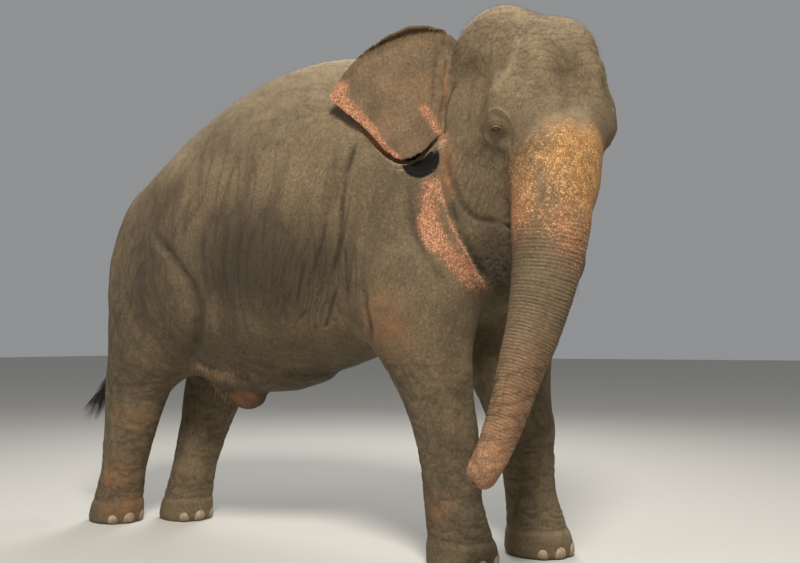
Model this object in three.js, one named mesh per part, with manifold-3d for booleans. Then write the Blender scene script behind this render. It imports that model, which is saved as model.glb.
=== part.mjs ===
// A standing Asian elephant bull, life size, in millimetres.
// The animal faces -Y, its right side is -X, +Z is up, and the soles stand at z = 0.
// The body is one smooth distance field made of named volumes. Each sub-part is a
// piece of that field between thin cuts, so that neighbours meet without overlap.
import * as THREE from 'three';
import Module from 'manifold-3d';

const wasm = await Module();
wasm.setup();

// ---------------------------------------------------------------- driving dimensions
const seam = 0.6;                 // width of each thin cut
const headCentre = [-100, -1390, 2200];
const headTurn = -37;             // degrees, negative looks to the animal's right

// torso sections: place along the body, top, bottom, half width, height share of the widest line
const torsoSections = [
  [-1050, 2520, 1420, 300, 0.50],
  [-800, 2720, 1200, 440, 0.48],
  [-500, 2850, 1100, 550, 0.46],
  [-150, 2900, 1010, 640, 0.44],
  [300, 2810, 930, 680, 0.44],
  [700, 2600, 930, 640, 0.47],
  [1000, 2370, 1060, 530, 0.50],
  [1150, 2200, 1200, 430, 0.51],
];
const torsoCap = 200;
const torsoPowers = { above: 2, below: 2.3 };

// blobs: centre, radii, softness of the join
const torsoBlobs = [
  [[0, 960, 1720], [450, 510, 640], 160],
  [[-285, -830, 1640], [240, 400, 560], 140],
  [[300, -960, 1640], [240, 390, 560], 140],
  [[-270, 980, 1440], [260, 390, 520], 140],
  [[250, 860, 1440], [260, 390, 520], 140],
  [[-60, -1120, 1620], [200, 260, 340], 140],
  [[0, 330, 960], [260, 420, 110], 120],
];

// leg columns: height, radius across, radius fore and aft, shift of the centre fore and aft
const foreLegUpperRings = [
  [680, 165, 178, -5], [880, 175, 205, 10], [1080, 195, 260, 30], [1300, 205, 310, 50],
  [1500, 190, 300, 60],
];
const foreLegRings = [
  [0, 168, 185, -15], [70, 172, 190, -15], [180, 162, 172, -5], [340, 150, 158, 10],
  [520, 155, 165, 0], ...foreLegUpperRings,
];
// the left one carries less weight and is slimmer over the foot
const foreLegLeftRings = [
  [0, 168, 185, -15], [70, 172, 190, -15], [180, 154, 164, -5], [340, 136, 144, 10],
  [520, 146, 156, 0], ...foreLegUpperRings,
];
const hindLegRings = [
  [0, 155, 178, -20], [70, 160, 182, -25], [180, 150, 162, -35], [340, 142, 152, -40],
  [500, 150, 168, -35], [660, 160, 190, -25], [850, 180, 230, -10], [1050, 205, 285, -30],
  [1250, 215, 320, -60], [1400, 200, 300, -65],
];
const legCap = 200;
// sole and top of each leg, the height over which it leans from one to the other, and how much
// stouter than its rings it grows on the way up
const legs = {
  fore_leg_right: { rings: foreLegRings, foot: [-270, -1050], top: [-360, -820], rise: 1900, swell: 0 },
  fore_leg_left: {
    rings: foreLegLeftRings, foot: [170, -1330], top: [360, -1000], rise: 1900, swell: 0.24,
  },
  hind_leg_right: { rings: hindLegRings, foot: [-220, 1420], top: [-320, 1000], rise: 1600, swell: 0 },
  hind_leg_left: { rings: hindLegRings, foot: [40, 1060], top: [280, 800], rise: 1600, swell: 0 },
};

// the head's volumes in its own frame, facing -Y, with the origin in its middle at eye height;
// side 0 stands on the midline and side 1 is made on both sides
const headBlobs = [
  [0, [0, 60, 280], [375, 330, 420], 1],
  [1, [170, -10, 490], [235, 280, 260], 140],
  [0, [0, -200, 200], [310, 190, 380], 120],
  [1, [190, -270, 140], [90, 100, 280], 100],
  [1, [280, -190, 120], [120, 150, 150], 100],
  [1, [152, 20, -200], [175, 270, 360], 120],
  [0, [-30, -300, -160], [225, 210, 360], 120],
  [1, [100, -60, -580], [140, 240, 240], 120],
  [0, [0, -260, -700], [90, 130, 90], 80],
];
const headHollows = [
  [1, [450, -30, 200], [90, 130, 190], 100],
  [0, [0, -560, 230], [130, 150, 210], 120],
];
const neckLine = { from: [0, -700, 2120], to: [-80, -1340, 2300] };
const neckRadii = { from: [420, 300, 620], to: [320, 300, 500] };

// softness of the joins between the large parts
const joins = { legs: 140, neck: 160, head: 120, trunk: 70 };

// lines of round flesh: share of the length, centre, radius
const trunkLine = [
  [0.00, -385, -1600, 2050, 195],
  [0.18, -460, -1615, 1760, 196],
  [0.36, -500, -1600, 1500, 166],
  [0.52, -545, -1560, 1270, 140],
  [0.66, -615, -1510, 1050, 116],
  [0.80, -697, -1466, 835, 98],
  [0.91, -776, -1420, 665, 84],
  [1.00, -842, -1374, 530, 73],
];
const tailLine = [
  [0.00, 0, 1300, 2120, 85],
  [0.22, 10, 1490, 1840, 58],
  [0.45, 20, 1570, 1480, 44],
  [0.70, 20, 1620, 1120, 34],
  [0.86, 10, 1690, 900, 28],
  [1.00, 0, 1800, 800, 22],
];
const sheath = { centre: [-20, 560, 880], radii: [85, 210, 130], tilt: 24 };

// ears: outline in the ear's own plane, back from the root and down from its top
const earRoot = [400, 170, 620];
const earOutline = [
  [-50, 20], [80, -40], [190, -35], [320, 15], [470, 100], [560, 180], [660, 320],
  [560, 420], [450, 520], [340, 650], [250, 700], [140, 650], [50, 550], [-50, 460],
  [-60, 240],
];
const earSwing = { right: 57, left: 22 };
const earThickness = 26;
const earRim = 9;
const earBow = 50;

const earSag = 30;
const earLength = 660;
const earDrop = 650;
const earLean = 0.02;               // how far the ear's root lies forward, per unit down
const earHub = [270, 300];
const earSpokes = 22;
const earRings = 3;

const eyeRadius = 26;
const eyePlace = [345, -212, 18];
const eyeSunk = 0.55;               // share of the radius by which the ball lies under the skin
const nailSize = [34, 18, 42];
const nailStep = 31;                // degrees between neighbouring nails
const nailHeight = 48;
const nailGround = 5;
const nailCounts = { fore: 5, hind: 4 };
const brushLine = [[0, 1812, 797], [-4, 1856, 776], [-8, 1898, 728], [-10, 1920, 655]];
const brushRadii = [38, 18];

// where the cuts between the sub-parts run
const headFloor = 1620;             // the head ends here and the lower jaw begins
const earCut = 200;                 // the neck starts this far behind the head's middle
const throatTop = 2050;             // under this height the cut runs across the throat
const throatPoint = [-50, -1260];
const throatTurn = -17;
const jawFloor = 1330;
const neckFloor = 1950;
const chestEnd = -560;
const rumpStart = 560;
const elbowHeight = 1090;
const stifleHeight = 850;
const kneeHeight = 620;
const footHeight = 200;
const foreParting = -30;            // cuts between the left and the right legs
const hindParting = -68;
const trunkShares = [0.12, 0.54, 0.8, 1];
const trunkRound = 0.035;           // share of the trunk over which its end rounds off
const tailShares = [0.02, 0.45, 1];
const lineSeam = 0.0006;
const skinColour = 0x6b5b4b;
const pinkColour = 0xa8775c;
const nailColour = 0x9c8a70;
const hairColour = 0x1d1814;
const eyeColour = 0x2a1a10;

// ---------------------------------------------------------------- distance functions
function softMin(a, b, k) {
  const h = Math.min(Math.max(0.5 + (0.5 * (b - a)) / k, 0), 1);
  return b * (1 - h) + a * h - k * h * (1 - h);
}

function softMax(a, b, k) {
  return -softMin(-a, -b, k);
}

// smooth values between the rows of a table whose first column rises
function rowAt(table, t) {
  const last = table.length - 1;
  const at = Math.min(Math.max(t, table[0][0]), table[last][0]);
  let i = 0;
  while (i < last - 1 && at >= table[i + 1][0]) i += 1;
  const slope = (j, c) => {
    const lower = Math.max(j - 1, 0);
    const upper = Math.min(j + 1, last);
    return (table[upper][c] - table[lower][c]) / (table[upper][0] - table[lower][0]);
  };
  const h = table[i + 1][0] - table[i][0];
  const u = (at - table[i][0]) / h;
  const v = 1 - u;
  return table[i].map((_, c) => (1 + 2 * u) * v * v * table[i][c] + u * v * v * h * slope(i, c)
    + u * u * (3 - 2 * u) * table[i + 1][c] - u * u * v * h * slope(i + 1, c));
}

function ellipsoid(x, y, z, radii) {
  const [a, b, c] = radii;
  const k0 = Math.hypot(x / a, y / b, z / c) + 1e-9;
  const k1 = Math.hypot(x / a / a, y / b / b, z / c / c) + 1e-12;
  return (k0 * (k0 - 1)) / k1;
}

function torso(x, y, z) {
  const [, top, bottom, halfWidth, share] = rowAt(torsoSections, y);
  const middle = bottom + share * (top - bottom);
  const above = z > middle;
  const halfHeight = above ? top - middle : middle - bottom;
  const power = above ? torsoPowers.above : torsoPowers.below;
  const start = torsoSections[0][0];
  const end = torsoSections[torsoSections.length - 1][0];
  const over = Math.max(start - y, y - end, 0) / torsoCap;
  const u = Math.abs(x) / halfWidth;
  const v = Math.abs(z - middle) / halfHeight;
  const k0 = (u ** power + v ** power + over ** power + 1e-12) ** (1 / power);
  const steep = Math.hypot(
    u ** (power - 1) / halfWidth,
    v ** (power - 1) / halfHeight,
    over ** (power - 1) / torsoCap,
  ) + 1e-9;
  return ((k0 - 1) * Math.max(k0, 0.2) ** (power - 1)) / steep;
}

function legRings(leg) {
  return leg.rings.map(([height, across, along, shift]) => {
    const t = Math.min(height / leg.rise, 1);
    const ease = t * t * (3 - 2 * t);
    const x = leg.foot[0] + (leg.top[0] - leg.foot[0]) * ease;
    const y = leg.foot[1] + (leg.top[1] - leg.foot[1]) * ease + shift;
    const girth = 1 + leg.swell * ease;
    return [height, x, y, across * girth, along * girth];
  });
}

function legField(leg) {
  const rings = legRings(leg);
  const top = rings[rings.length - 1][0];
  return (x, y, z) => {
    const [, cx, cy, across, along] = rowAt(rings, z);
    const over = Math.max(z - top, 0) / legCap;
    const u = (x - cx) / across;
    const v = (y - cy) / along;
    const k0 = Math.hypot(u, v, over) + 1e-9;
    const steep = Math.hypot(u / across, v / along, over / legCap) + 1e-9;
    return ((k0 - 1) * Math.max(k0, 0.2)) / steep;
  };
}

const turn = THREE.MathUtils.degToRad(headTurn);
const headMatrix = new THREE.Matrix4().makeRotationZ(turn).setPosition(...headCentre);

function toHead(x, y, z) {
  const dx = x - headCentre[0];
  const dy = y - headCentre[1];
  return [
    dx * Math.cos(turn) + dy * Math.sin(turn),
    dy * Math.cos(turn) - dx * Math.sin(turn),
    z - headCentre[2],
  ];
}

function head(x, y, z) {
  const [hx, hy, hz] = toHead(x, y, z);
  let d = Infinity;
  for (const [paired, centre, radii, soft] of headBlobs) {
    for (const side of paired ? [1, -1] : [1]) {
      const e = ellipsoid(hx - side * centre[0], hy - centre[1], hz - centre[2], radii);
      d = d === Infinity ? e : softMin(d, e, soft);
    }
  }
  for (const [paired, centre, radii, soft] of headHollows) {
    for (const side of paired ? [1, -1] : [1]) {
      d = softMax(d, -ellipsoid(hx - side * centre[0], hy - centre[1], hz - centre[2], radii), soft);
    }
  }
  return d;
}

function neck(x, y, z) {
  const { from, to } = neckLine;
  const run = to.map((v, i) => v - from[i]);
  const rel = [x - from[0], y - from[1], z - from[2]];
  const length2 = run[0] ** 2 + run[1] ** 2 + run[2] ** 2;
  const along = (rel[0] * run[0] + rel[1] * run[1] + rel[2] * run[2]) / length2;
  const t = Math.min(Math.max(along, 0), 1);
  const radii = neckRadii.from.map((r, i) => r + (neckRadii.to[i] - r) * t);
  return ellipsoid(rel[0] - t * run[0], rel[1] - t * run[1], rel[2] - t * run[2], radii);
}

function lineField(line, steps) {
  const nodes = [];
  for (let i = 0; i <= steps; i += 1) nodes.push(rowAt(line, i / steps).slice(1));
  return (x, y, z) => {
    let best = Infinity;
    for (let i = 0; i < steps; i += 1) {
      const a = nodes[i];
      const b = nodes[i + 1];
      const run = [b[0] - a[0], b[1] - a[1], b[2] - a[2]];
      const rel = [x - a[0], y - a[1], z - a[2]];
      const length2 = run[0] ** 2 + run[1] ** 2 + run[2] ** 2;
      const along = (rel[0] * run[0] + rel[1] * run[1] + rel[2] * run[2]) / length2;
      const t = Math.min(Math.max(along, 0), 1);
      const gap = Math.hypot(rel[0] - t * run[0], rel[1] - t * run[1], rel[2] - t * run[2]);
      best = Math.min(best, gap - (a[3] + t * (b[3] - a[3])));
    }
    return best;
  };
}

const legFields = Object.fromEntries(Object.entries(legs).map(([name, leg]) => [name, legField(leg)]));
const trunk = lineField(trunkLine, 40);

// torso, legs, neck and head as one, without the hanging trunk, the tail and the ears
function bodyWithoutTrunk(x, y, z) {
  let d = torso(x, y, z);
  for (const [centre, radii, soft] of torsoBlobs) {
    d = softMin(d, ellipsoid(x - centre[0], y - centre[1], z - centre[2], radii), soft);
  }
  let leg = Infinity;
  for (const field of Object.values(legFields)) leg = Math.min(leg, field(x, y, z));
  d = softMin(d, leg, joins.legs);
  d = softMin(d, neck(x, y, z), joins.neck);
  return softMin(d, head(x, y, z), joins.head);
}

function body(x, y, z) {
  return softMin(bodyWithoutTrunk(x, y, z), trunk(x, y, z), joins.trunk);
}

// ---------------------------------------------------------------- meshes and solids
// a solid of a closed mesh, turned right side out when its triangles run the other way
function toSolid(positions, indices) {
  const mesh = new wasm.Mesh({
    numProp: 3,
    vertProperties: Float32Array.from(positions),
    triVerts: Uint32Array.from(indices),
  });
  mesh.merge();
  const solid = new wasm.Manifold(mesh);
  return solid.volume() > 0 ? solid : toSolid(positions, indices.slice().reverse());
}

function slopeOf(field, p, reach) {
  return [0, 1, 2].map((axis) => {
    const a = [...p];
    const b = [...p];
    a[axis] += reach;
    b[axis] -= reach;
    return (field(...a) - field(...b)) / (2 * reach);
  });
}

const corners = Array.from({ length: 8 }, (_, n) => [n & 1, (n >> 1) & 1, (n >> 2) & 1]);

// which corners inside the surface hang together along the cube's edges
function cornerGroups(inside) {
  const group = inside.map((yes, n) => (yes ? n : -1));
  for (let pass = 0; pass < 3; pass += 1) {
    for (let n = 0; n < 8; n += 1) {
      for (const bit of [1, 2, 4]) {
        const m = n ^ bit;
        if (inside[n] && inside[m]) group[n] = group[m] = Math.min(group[n], group[m]);
      }
    }
  }
  return group;
}

// a closed mesh of the field's surface: in each cell that the surface crosses, one point for
// each group of corners, moved onto the surface, and four points joined round each crossed edge
function fieldSolid(field, low, high, cell) {
  const pad = cell * 1.5;
  const start = low.map((v) => v - pad);
  const count = high.map((v, i) => Math.ceil((v + pad - start[i]) / cell) + 1);
  const [nx, ny, nz] = count;
  const at = ([i, j, k]) => (i * ny + j) * nz + k;
  const add = (a, b) => a.map((v, n) => v + b[n]);
  const grid = [];
  for (let i = 0; i < nx; i += 1) {
    for (let j = 0; j < ny; j += 1) {
      for (let k = 0; k < nz; k += 1) grid.push([i, j, k]);
    }
  }
  const onRim = (g) => g.some((v, n) => v === 0 || v === count[n] - 1);
  const values = grid.map((g) => (onRim(g) ? cell : field(...g.map((v, n) => start[n] + v * cell))));
  const positions = [];
  const pointOf = new Map();
  for (const g of grid) {
    if (g.some((v, n) => v === count[n] - 1)) continue;
    const level = corners.map((c) => values[at(add(g, c))]);
    const inside = level.map((v) => v < 0);
    if (inside.every((v) => v === inside[0])) continue;
    const group = cornerGroups(inside);
    for (const id of new Set(group.filter((v) => v >= 0))) {
      const sum = [0, 0, 0];
      let crossings = 0;
      group.forEach((member, n) => {
        if (member !== id) return;
        for (const [axis, bit] of [1, 2, 4].entries()) {
          const m = n ^ bit;
          if (inside[m]) continue;
          const t = level[n] / (level[n] - level[m]);
          corners[n].forEach((v, c) => { sum[c] += c === axis ? v + t * (corners[m][c] - v) : v; });
          crossings += 1;
        }
        pointOf.set(at(g) * 8 + n, positions.length / 3);
      });
      const p = sum.map((v, n) => start[n] + (g[n] + v / crossings) * cell);
      const nearRim = g.some((v, n) => v === 0 || v === count[n] - 2);
      for (let pass = 0; pass < 3 && !nearRim; pass += 1) {
        const slope = slopeOf(field, p, cell * 0.05);
        const move = field(...p) / (slope[0] ** 2 + slope[1] ** 2 + slope[2] ** 2 + 1e-6);
        slope.forEach((v, n) => {
          const shift = Math.min(Math.max(-v * move, -cell * 0.4), cell * 0.4);
          const cellLow = start[n] + g[n] * cell;
          p[n] = Math.min(Math.max(p[n] + shift, cellLow), cellLow + cell);
        });
      }
      positions.push(...p);
    }
  }
  const indices = [];
  for (const g of grid) {
    for (let axis = 0; axis < 3; axis += 1) {
      const step = [0, 0, 0];
      step[axis] = 1;
      const next = add(g, step);
      if (next[axis] >= count[axis]) continue;
      const inside = values[at(g)] < 0;
      if (inside === values[at(next)] < 0) continue;
      const quad = [[0, 0], [1, 0], [1, 1], [0, 1]].map(([a, b]) => {
        const back = [0, 0, 0];
        back[(axis + 1) % 3] = a;
        back[(axis + 2) % 3] = b;
        const owner = g.map((v, n) => v - back[n]);
        const corner = add(back, inside ? [0, 0, 0] : step);
        return pointOf.get(at(owner) * 8 + corner[0] + 2 * corner[1] + 4 * corner[2]);
      });
      if (!inside) quad.reverse();
      indices.push(quad[0], quad[1], quad[2], quad[0], quad[2], quad[3]);
    }
  }
  return toSolid(positions, indices);
}

function ring(sides, place) {
  return Array.from({ length: sides }, (_, i) => {
    const angle = (2 * Math.PI * i) / sides;
    return place(Math.cos(angle), Math.sin(angle));
  });
}

// a closed skin over a row of rings, with flat ends
function loftSolid(rings) {
  const sides = rings[0].length;
  const positions = rings.flat(2);
  const indices = [];
  rings.slice(1).forEach((_, r) => {
    for (let s = 0; s < sides; s += 1) {
      const a = r * sides + s;
      const b = r * sides + ((s + 1) % sides);
      indices.push(a, b, b + sides, a, b + sides, a + sides);
    }
  });
  const last = (rings.length - 1) * sides;
  for (let s = 1; s < sides - 1; s += 1) {
    indices.push(0, s + 1, s, last, last + s, last + s + 1);
  }
  return toSolid(positions, indices);
}

function geometrySolid(geometry) {
  const plain = geometry.index ? geometry.toNonIndexed() : geometry;
  const positions = plain.getAttribute('position').array;
  return toSolid(positions, Array.from({ length: positions.length / 3 }, (_, i) => i));
}

function boxSolid(low, high, placement = new THREE.Matrix4()) {
  const size = high.map((v, i) => v - low[i]);
  const geometry = new THREE.BoxGeometry(...size);
  geometry.translate(...low.map((v, i) => v + size[i] / 2));
  geometry.applyMatrix4(placement);
  return geometrySolid(geometry);
}

// ---------------------------------------------------------------- the sub-parts
const far = 4000;
const throatMatrix = new THREE.Matrix4()
  .makeRotationZ(THREE.MathUtils.degToRad(throatTurn))
  .setPosition(...throatPoint, 0);

// the room of the head and jaw: in front of a cut behind the ears, and lower down in front of
// one across the throat, which is turned less
function headRoom(grow = 0) {
  const floor = throatTop - grow - headCentre[2];
  const upper = boxSolid([-far, -far, floor], [far, earCut + grow, far], headMatrix);
  const lower = boxSolid([-far, -far, -far], [far, grow, throatTop + grow], throatMatrix);
  return upper.add(lower);
}

// lowest and highest corner of each sub-part's room, and the cell of its mesh
const cuts = {
  head: { low: [-720, -2000, headFloor], high: [480, -840, 3000], cell: 74 },
  lower_jaw: { low: [-520, -1850, jawFloor], high: [260, -1000, headFloor - seam], cell: 84 },
  neck: { low: [-760, -1640, neckFloor], high: [760, chestEnd - seam, 3000], cell: 125 },
  chest: { low: [-760, -1640, elbowHeight], high: [760, chestEnd - seam, neckFloor - seam], cell: 125 },
  barrel: { low: [-800, chestEnd, 600], high: [800, rumpStart, 3000], cell: 168 },
  rump: { low: [-760, rumpStart + seam, stifleHeight], high: [760, 1750, 2900], cell: 150 },
  upper_fore_leg_right: {
    low: [-700, -1640, kneeHeight],
    high: [foreParting - seam, chestEnd - seam, elbowHeight - seam],
    cell: 104,
  },
  upper_fore_leg_left: {
    low: [foreParting, -1700, kneeHeight],
    high: [700, chestEnd - seam, elbowHeight - seam],
    cell: 104,
  },
  upper_hind_leg_right: {
    low: [-700, rumpStart + seam, kneeHeight],
    high: [hindParting - seam, 1800, stifleHeight - seam],
    cell: 100,
  },
  upper_hind_leg_left: {
    low: [hindParting, rumpStart + seam, kneeHeight],
    high: [700, 1800, stifleHeight - seam],
    cell: 100,
  },
};

const solids = {};
for (const [name, { low, high, cell }] of Object.entries(cuts)) {
  const field = name === 'head' ? body : bodyWithoutTrunk;
  solids[name] = fieldSolid(field, low, high, cell).intersect(boxSolid(low, high));
}

// round lengths: legs below the belly by height, trunk and tail along their lines
const legSides = 14;
const legSteps = [0, 70, 130, footHeight, 310, 430, kneeHeight];
function legLength(leg, bottom, top, grow = 0) {
  const rings = legRings(leg);
  const inner = legSteps.filter((h) => h > bottom + 1 && h < top - 1);
  return loftSolid([bottom, ...inner, top].map((height) => {
    const [, x, y, across, along] = rowAt(rings, height);
    return ring(legSides, (c, s) => [x + (across + grow) * c, y + (along + grow) * s, height]);
  }));
}
for (const [name, leg] of Object.entries(legs)) {
  solids[`lower_${name}`] = legLength(leg, footHeight + seam, kneeHeight - seam);
  solids[name.replace('leg', 'foot')] = legLength(leg, 0, footHeight);
}

function lineLength(line, from, to, steps, sides, grow = 0, endRound = 0) {
  const rows = [];
  for (let i = 0; i <= steps; i += 1) rows.push(from + ((to - from) * i) / steps);
  if (endRound) rows.splice(-1, 0, to - endRound * 0.7, to - endRound * 0.25);
  return loftSolid(rows.map((share) => {
    const [, x, y, z, radius] = rowAt(line, share);
    const ahead = rowAt(line, Math.min(share + 0.01, 1));
    const behind = rowAt(line, Math.max(share - 0.01, 0));
    const way = new THREE.Vector3(ahead[1] - behind[1], ahead[2] - behind[2], ahead[3] - behind[3]);
    const across = new THREE.Vector3(1, 0, 0).cross(way).normalize();
    const side = way.normalize().clone().cross(across);
    const past = Math.min(Math.max((share - 1 + endRound) / (endRound + 1e-9), 0), 0.93);
    const r = (radius + grow) * Math.sqrt(1 - past * past);
    return ring(sides, (c, s) => [
      x + r * (c * side.x + s * across.x),
      y + r * (c * side.y + s * across.y),
      z + r * (c * side.z + s * across.z),
    ]);
  }));
}
const trunkSides = 16;
const tailSides = 7;
const underHead = boxSolid([-far, -far, -far], [far, far, headFloor - seam]);
const [trunkTop, trunkSecond, trunkThird, trunkEnd] = trunkShares;
const trunkLength = (from, to, steps, grow, endRound) => lineLength(
  trunkLine, from, to, steps, trunkSides, grow, endRound);
solids.trunk_upper = trunkLength(trunkTop, trunkSecond, 8).intersect(underHead);
solids.trunk_middle = trunkLength(trunkSecond + lineSeam, trunkThird, 5);
solids.trunk_tip = trunkLength(trunkThird + lineSeam, trunkEnd, 5, 0, trunkRound);
const [tailTop, tailMiddle, tailTip] = tailShares;
solids.tail_root = lineLength(tailLine, tailTop, tailMiddle, 6, tailSides);
solids.tail_end = lineLength(tailLine, tailMiddle + lineSeam, tailTip, 8, tailSides);

// cuts away what lies inside the neighbours, and notes which way the piece then stands off
const standOff = {};
function clearOf(name, others, way) {
  for (const other of others) solids[name] = solids[name].subtract(solids[other]);
  standOff[name] = new THREE.Vector3(...way).normalize().multiplyScalar(2 * seam);
}

solids.head = solids.head.intersect(headRoom());
solids.lower_jaw = solids.lower_jaw.intersect(headRoom())
  .subtract(trunkLength(trunkTop, trunkSecond, 8, seam));
solids.neck = solids.neck.subtract(headRoom(seam));
const aboveJawFloor = boxSolid([-far, -far, jawFloor - seam], [far, far, far]);
solids.chest = solids.chest.subtract(headRoom(seam).intersect(aboveJawFloor));
clearOf('tail_root', ['rump'], [0, 1, 0]);
clearOf('tail_end', ['rump'], [0, 1, 0]);

// the sheath hangs in a pocket of the belly
function sheathSolid(grow = 0) {
  const geometry = new THREE.SphereGeometry(1, 12, 8);
  geometry.scale(...sheath.radii.map((r) => r + grow));
  geometry.rotateX(THREE.MathUtils.degToRad(sheath.tilt));
  geometry.translate(...sheath.centre);
  return geometrySolid(geometry);
}
solids.sheath = sheathSolid();
for (const other of ['barrel', 'rump', 'upper_hind_leg_left', 'upper_hind_leg_right']) {
  solids[other] = solids[other].subtract(sheathSolid(seam));
}

// a point of the field's surface near a seed, with the way out of it
function onSurface(field, seed) {
  const p = new THREE.Vector3(...seed);
  const out = new THREE.Vector3();
  for (let pass = 0; pass < 12; pass += 1) {
    out.set(...slopeOf(field, p.toArray(), 2));
    p.addScaledVector(out, -field(...p.toArray()) / out.lengthSq());
  }
  return { p, out: out.normalize() };
}

// eyes: balls set in the skull behind its skin
for (const [name, side] of [['eye_right', -1], ['eye_left', 1]]) {
  const seed = new THREE.Vector3(side * eyePlace[0], eyePlace[1], eyePlace[2]);
  const { p, out } = onSurface(body, seed.applyMatrix4(headMatrix).toArray());
  p.addScaledVector(out, -eyeRadius * eyeSunk);
  const ball = (radius) => {
    const geometry = new THREE.SphereGeometry(radius, 9, 6);
    geometry.translate(p.x, p.y, p.z);
    return geometrySolid(geometry);
  };
  solids[name] = ball(eyeRadius);
  solids.head = solids.head.subtract(ball(eyeRadius + 1));
}

// how far the ear stands out of its plane: bowed along its length, its hem curling out
function earLift(u, v) {
  const along = Math.min(Math.max(u / earLength, 0), 1);
  const hem = Math.min(Math.max((v - earHub[1]) / (earDrop - earHub[1]), 0), 1);
  return earBow * Math.sin(Math.PI * along) + earSag * hem * hem;
}

// ears: a bowed sheet between two skins of rings round the outline, thin at its rim
function earSolid(side, swing, grow = 0) {
  const f = THREE.MathUtils.degToRad(swing);
  const back = new THREE.Vector3(side * Math.sin(f), Math.cos(f), 0);
  const out = new THREE.Vector3(side * Math.cos(f), -Math.sin(f), 0);
  const root = new THREE.Vector3(side * earRoot[0], earRoot[1], earRoot[2]);
  const outline = new THREE.CatmullRomCurve3(
    earOutline.map(([u, v]) => new THREE.Vector3(u, v, 0)), true, 'catmullrom', 0.35);
  const hub = new THREE.Vector3(...earHub, 0);
  const place = (flat, share, face) => {
    const domed = Math.sqrt(1 - share * share);
    const half = grow + 0.5 * (earRim + (earThickness - earRim) * domed);
    const lift = earLift(flat.x, flat.y) + face * half;
    return root.clone()
      .addScaledVector(back, flat.x - earLean * flat.y)
      .addScaledVector(out, lift)
      .add(new THREE.Vector3(0, 0, -flat.y))
      .applyMatrix4(headMatrix);
  };
  const positions = [];
  const indices = [];
  for (const face of [1, -1]) {
    positions.push(...place(hub, 0, face).toArray());
    for (let r = 1; r <= earRings; r += 1) {
      for (let s = 0; s < earSpokes; s += 1) {
        const edge = outline.getPoint(s / earSpokes);
        const reach = 1 + grow / edge.distanceTo(hub);
        const flat = hub.clone().lerp(edge, (reach * r) / earRings);
        positions.push(...place(flat, r / earRings, face).toArray());
      }
    }
  }
  const perFace = 1 + earRings * earSpokes;
  const index = (face, r, s) => face * perFace + (r === 0 ? 0 : 1 + (r - 1) * earSpokes + (s % earSpokes));
  const triangle = (a, b, c, flip) => indices.push(...(flip ? [a, c, b] : [a, b, c]));
  for (const face of [0, 1]) {
    const flip = (face === 0) === (side < 0);
    for (let r = 0; r < earRings; r += 1) {
      for (let s = 0; s < earSpokes; s += 1) {
        const outer = [index(face, r + 1, s), index(face, r + 1, s + 1)];
        triangle(index(face, r, s), outer[0], outer[1], flip);
        if (r > 0) triangle(index(face, r, s), outer[1], index(face, r, s + 1), flip);
      }
    }
  }
  for (let s = 0; s < earSpokes; s += 1) {
    const top = [index(0, earRings, s), index(0, earRings, s + 1)];
    const under = [index(1, earRings, s), index(1, earRings, s + 1)];
    triangle(top[0], under[0], under[1], side < 0);
    triangle(top[0], under[1], top[1], side < 0);
  }
  return toSolid(positions, indices);
}

// each ear sits in a slot of the head and neck
for (const [name, side] of [['ear_right', -1], ['ear_left', 1]]) {
  const swing = side < 0 ? earSwing.right : earSwing.left;
  solids[name] = earSolid(side, swing);
  const slot = earSolid(side, swing, seam);
  for (const other of ['head', 'neck', 'chest']) solids[other] = solids[other].subtract(slot);
}

// toenails: blunt shields on the front of each foot, a little above the ground
const aboveGround = boxSolid([-far, -far, nailGround], [far, far, far]);
for (const [name, leg] of Object.entries(legs)) {
  const foot = name.replace('leg', 'foot');
  const count = nailCounts[name.slice(0, 4)];
  const grownFoot = legLength(leg, 0, footHeight, 1);
  for (let i = 0; i < count; i += 1) {
    const around = THREE.MathUtils.degToRad((i - (count - 1) / 2) * nailStep);
    const reach = leg.rings[0][2];
    const seed = [
      leg.foot[0] + reach * Math.sin(around),
      leg.foot[1] - reach * Math.cos(around),
      nailHeight,
    ];
    const { p, out } = onSurface(legFields[name], seed);
    const geometry = new THREE.SphereGeometry(1, 6, 4);
    geometry.scale(...nailSize);
    geometry.rotateZ(Math.atan2(out.y, out.x) + Math.PI / 2);
    geometry.translate(p.x, p.y, p.z);
    solids[`${foot}_nail_${i + 1}`] = geometrySolid(geometry)
      .subtract(grownFoot)
      .intersect(aboveGround);
  }
}

// the hair brush at the end of the tail: a flat lock that narrows to a point
const brushShape = new THREE.Shape();
brushShape.absellipse(0, 0, ...brushRadii, 0, Math.PI * 2);
const brushGeometry = new THREE.ExtrudeGeometry(brushShape, {
  steps: 5,
  curveSegments: 4,
  extrudePath: new THREE.CatmullRomCurve3(brushLine.map((p) => new THREE.Vector3(...p))),
});
brushGeometry.deleteAttribute('normal');
brushGeometry.deleteAttribute('uv');
solids.tail_brush = geometrySolid(brushGeometry);
clearOf('tail_brush', ['tail_end'], [0, 1, 0]);

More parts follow.
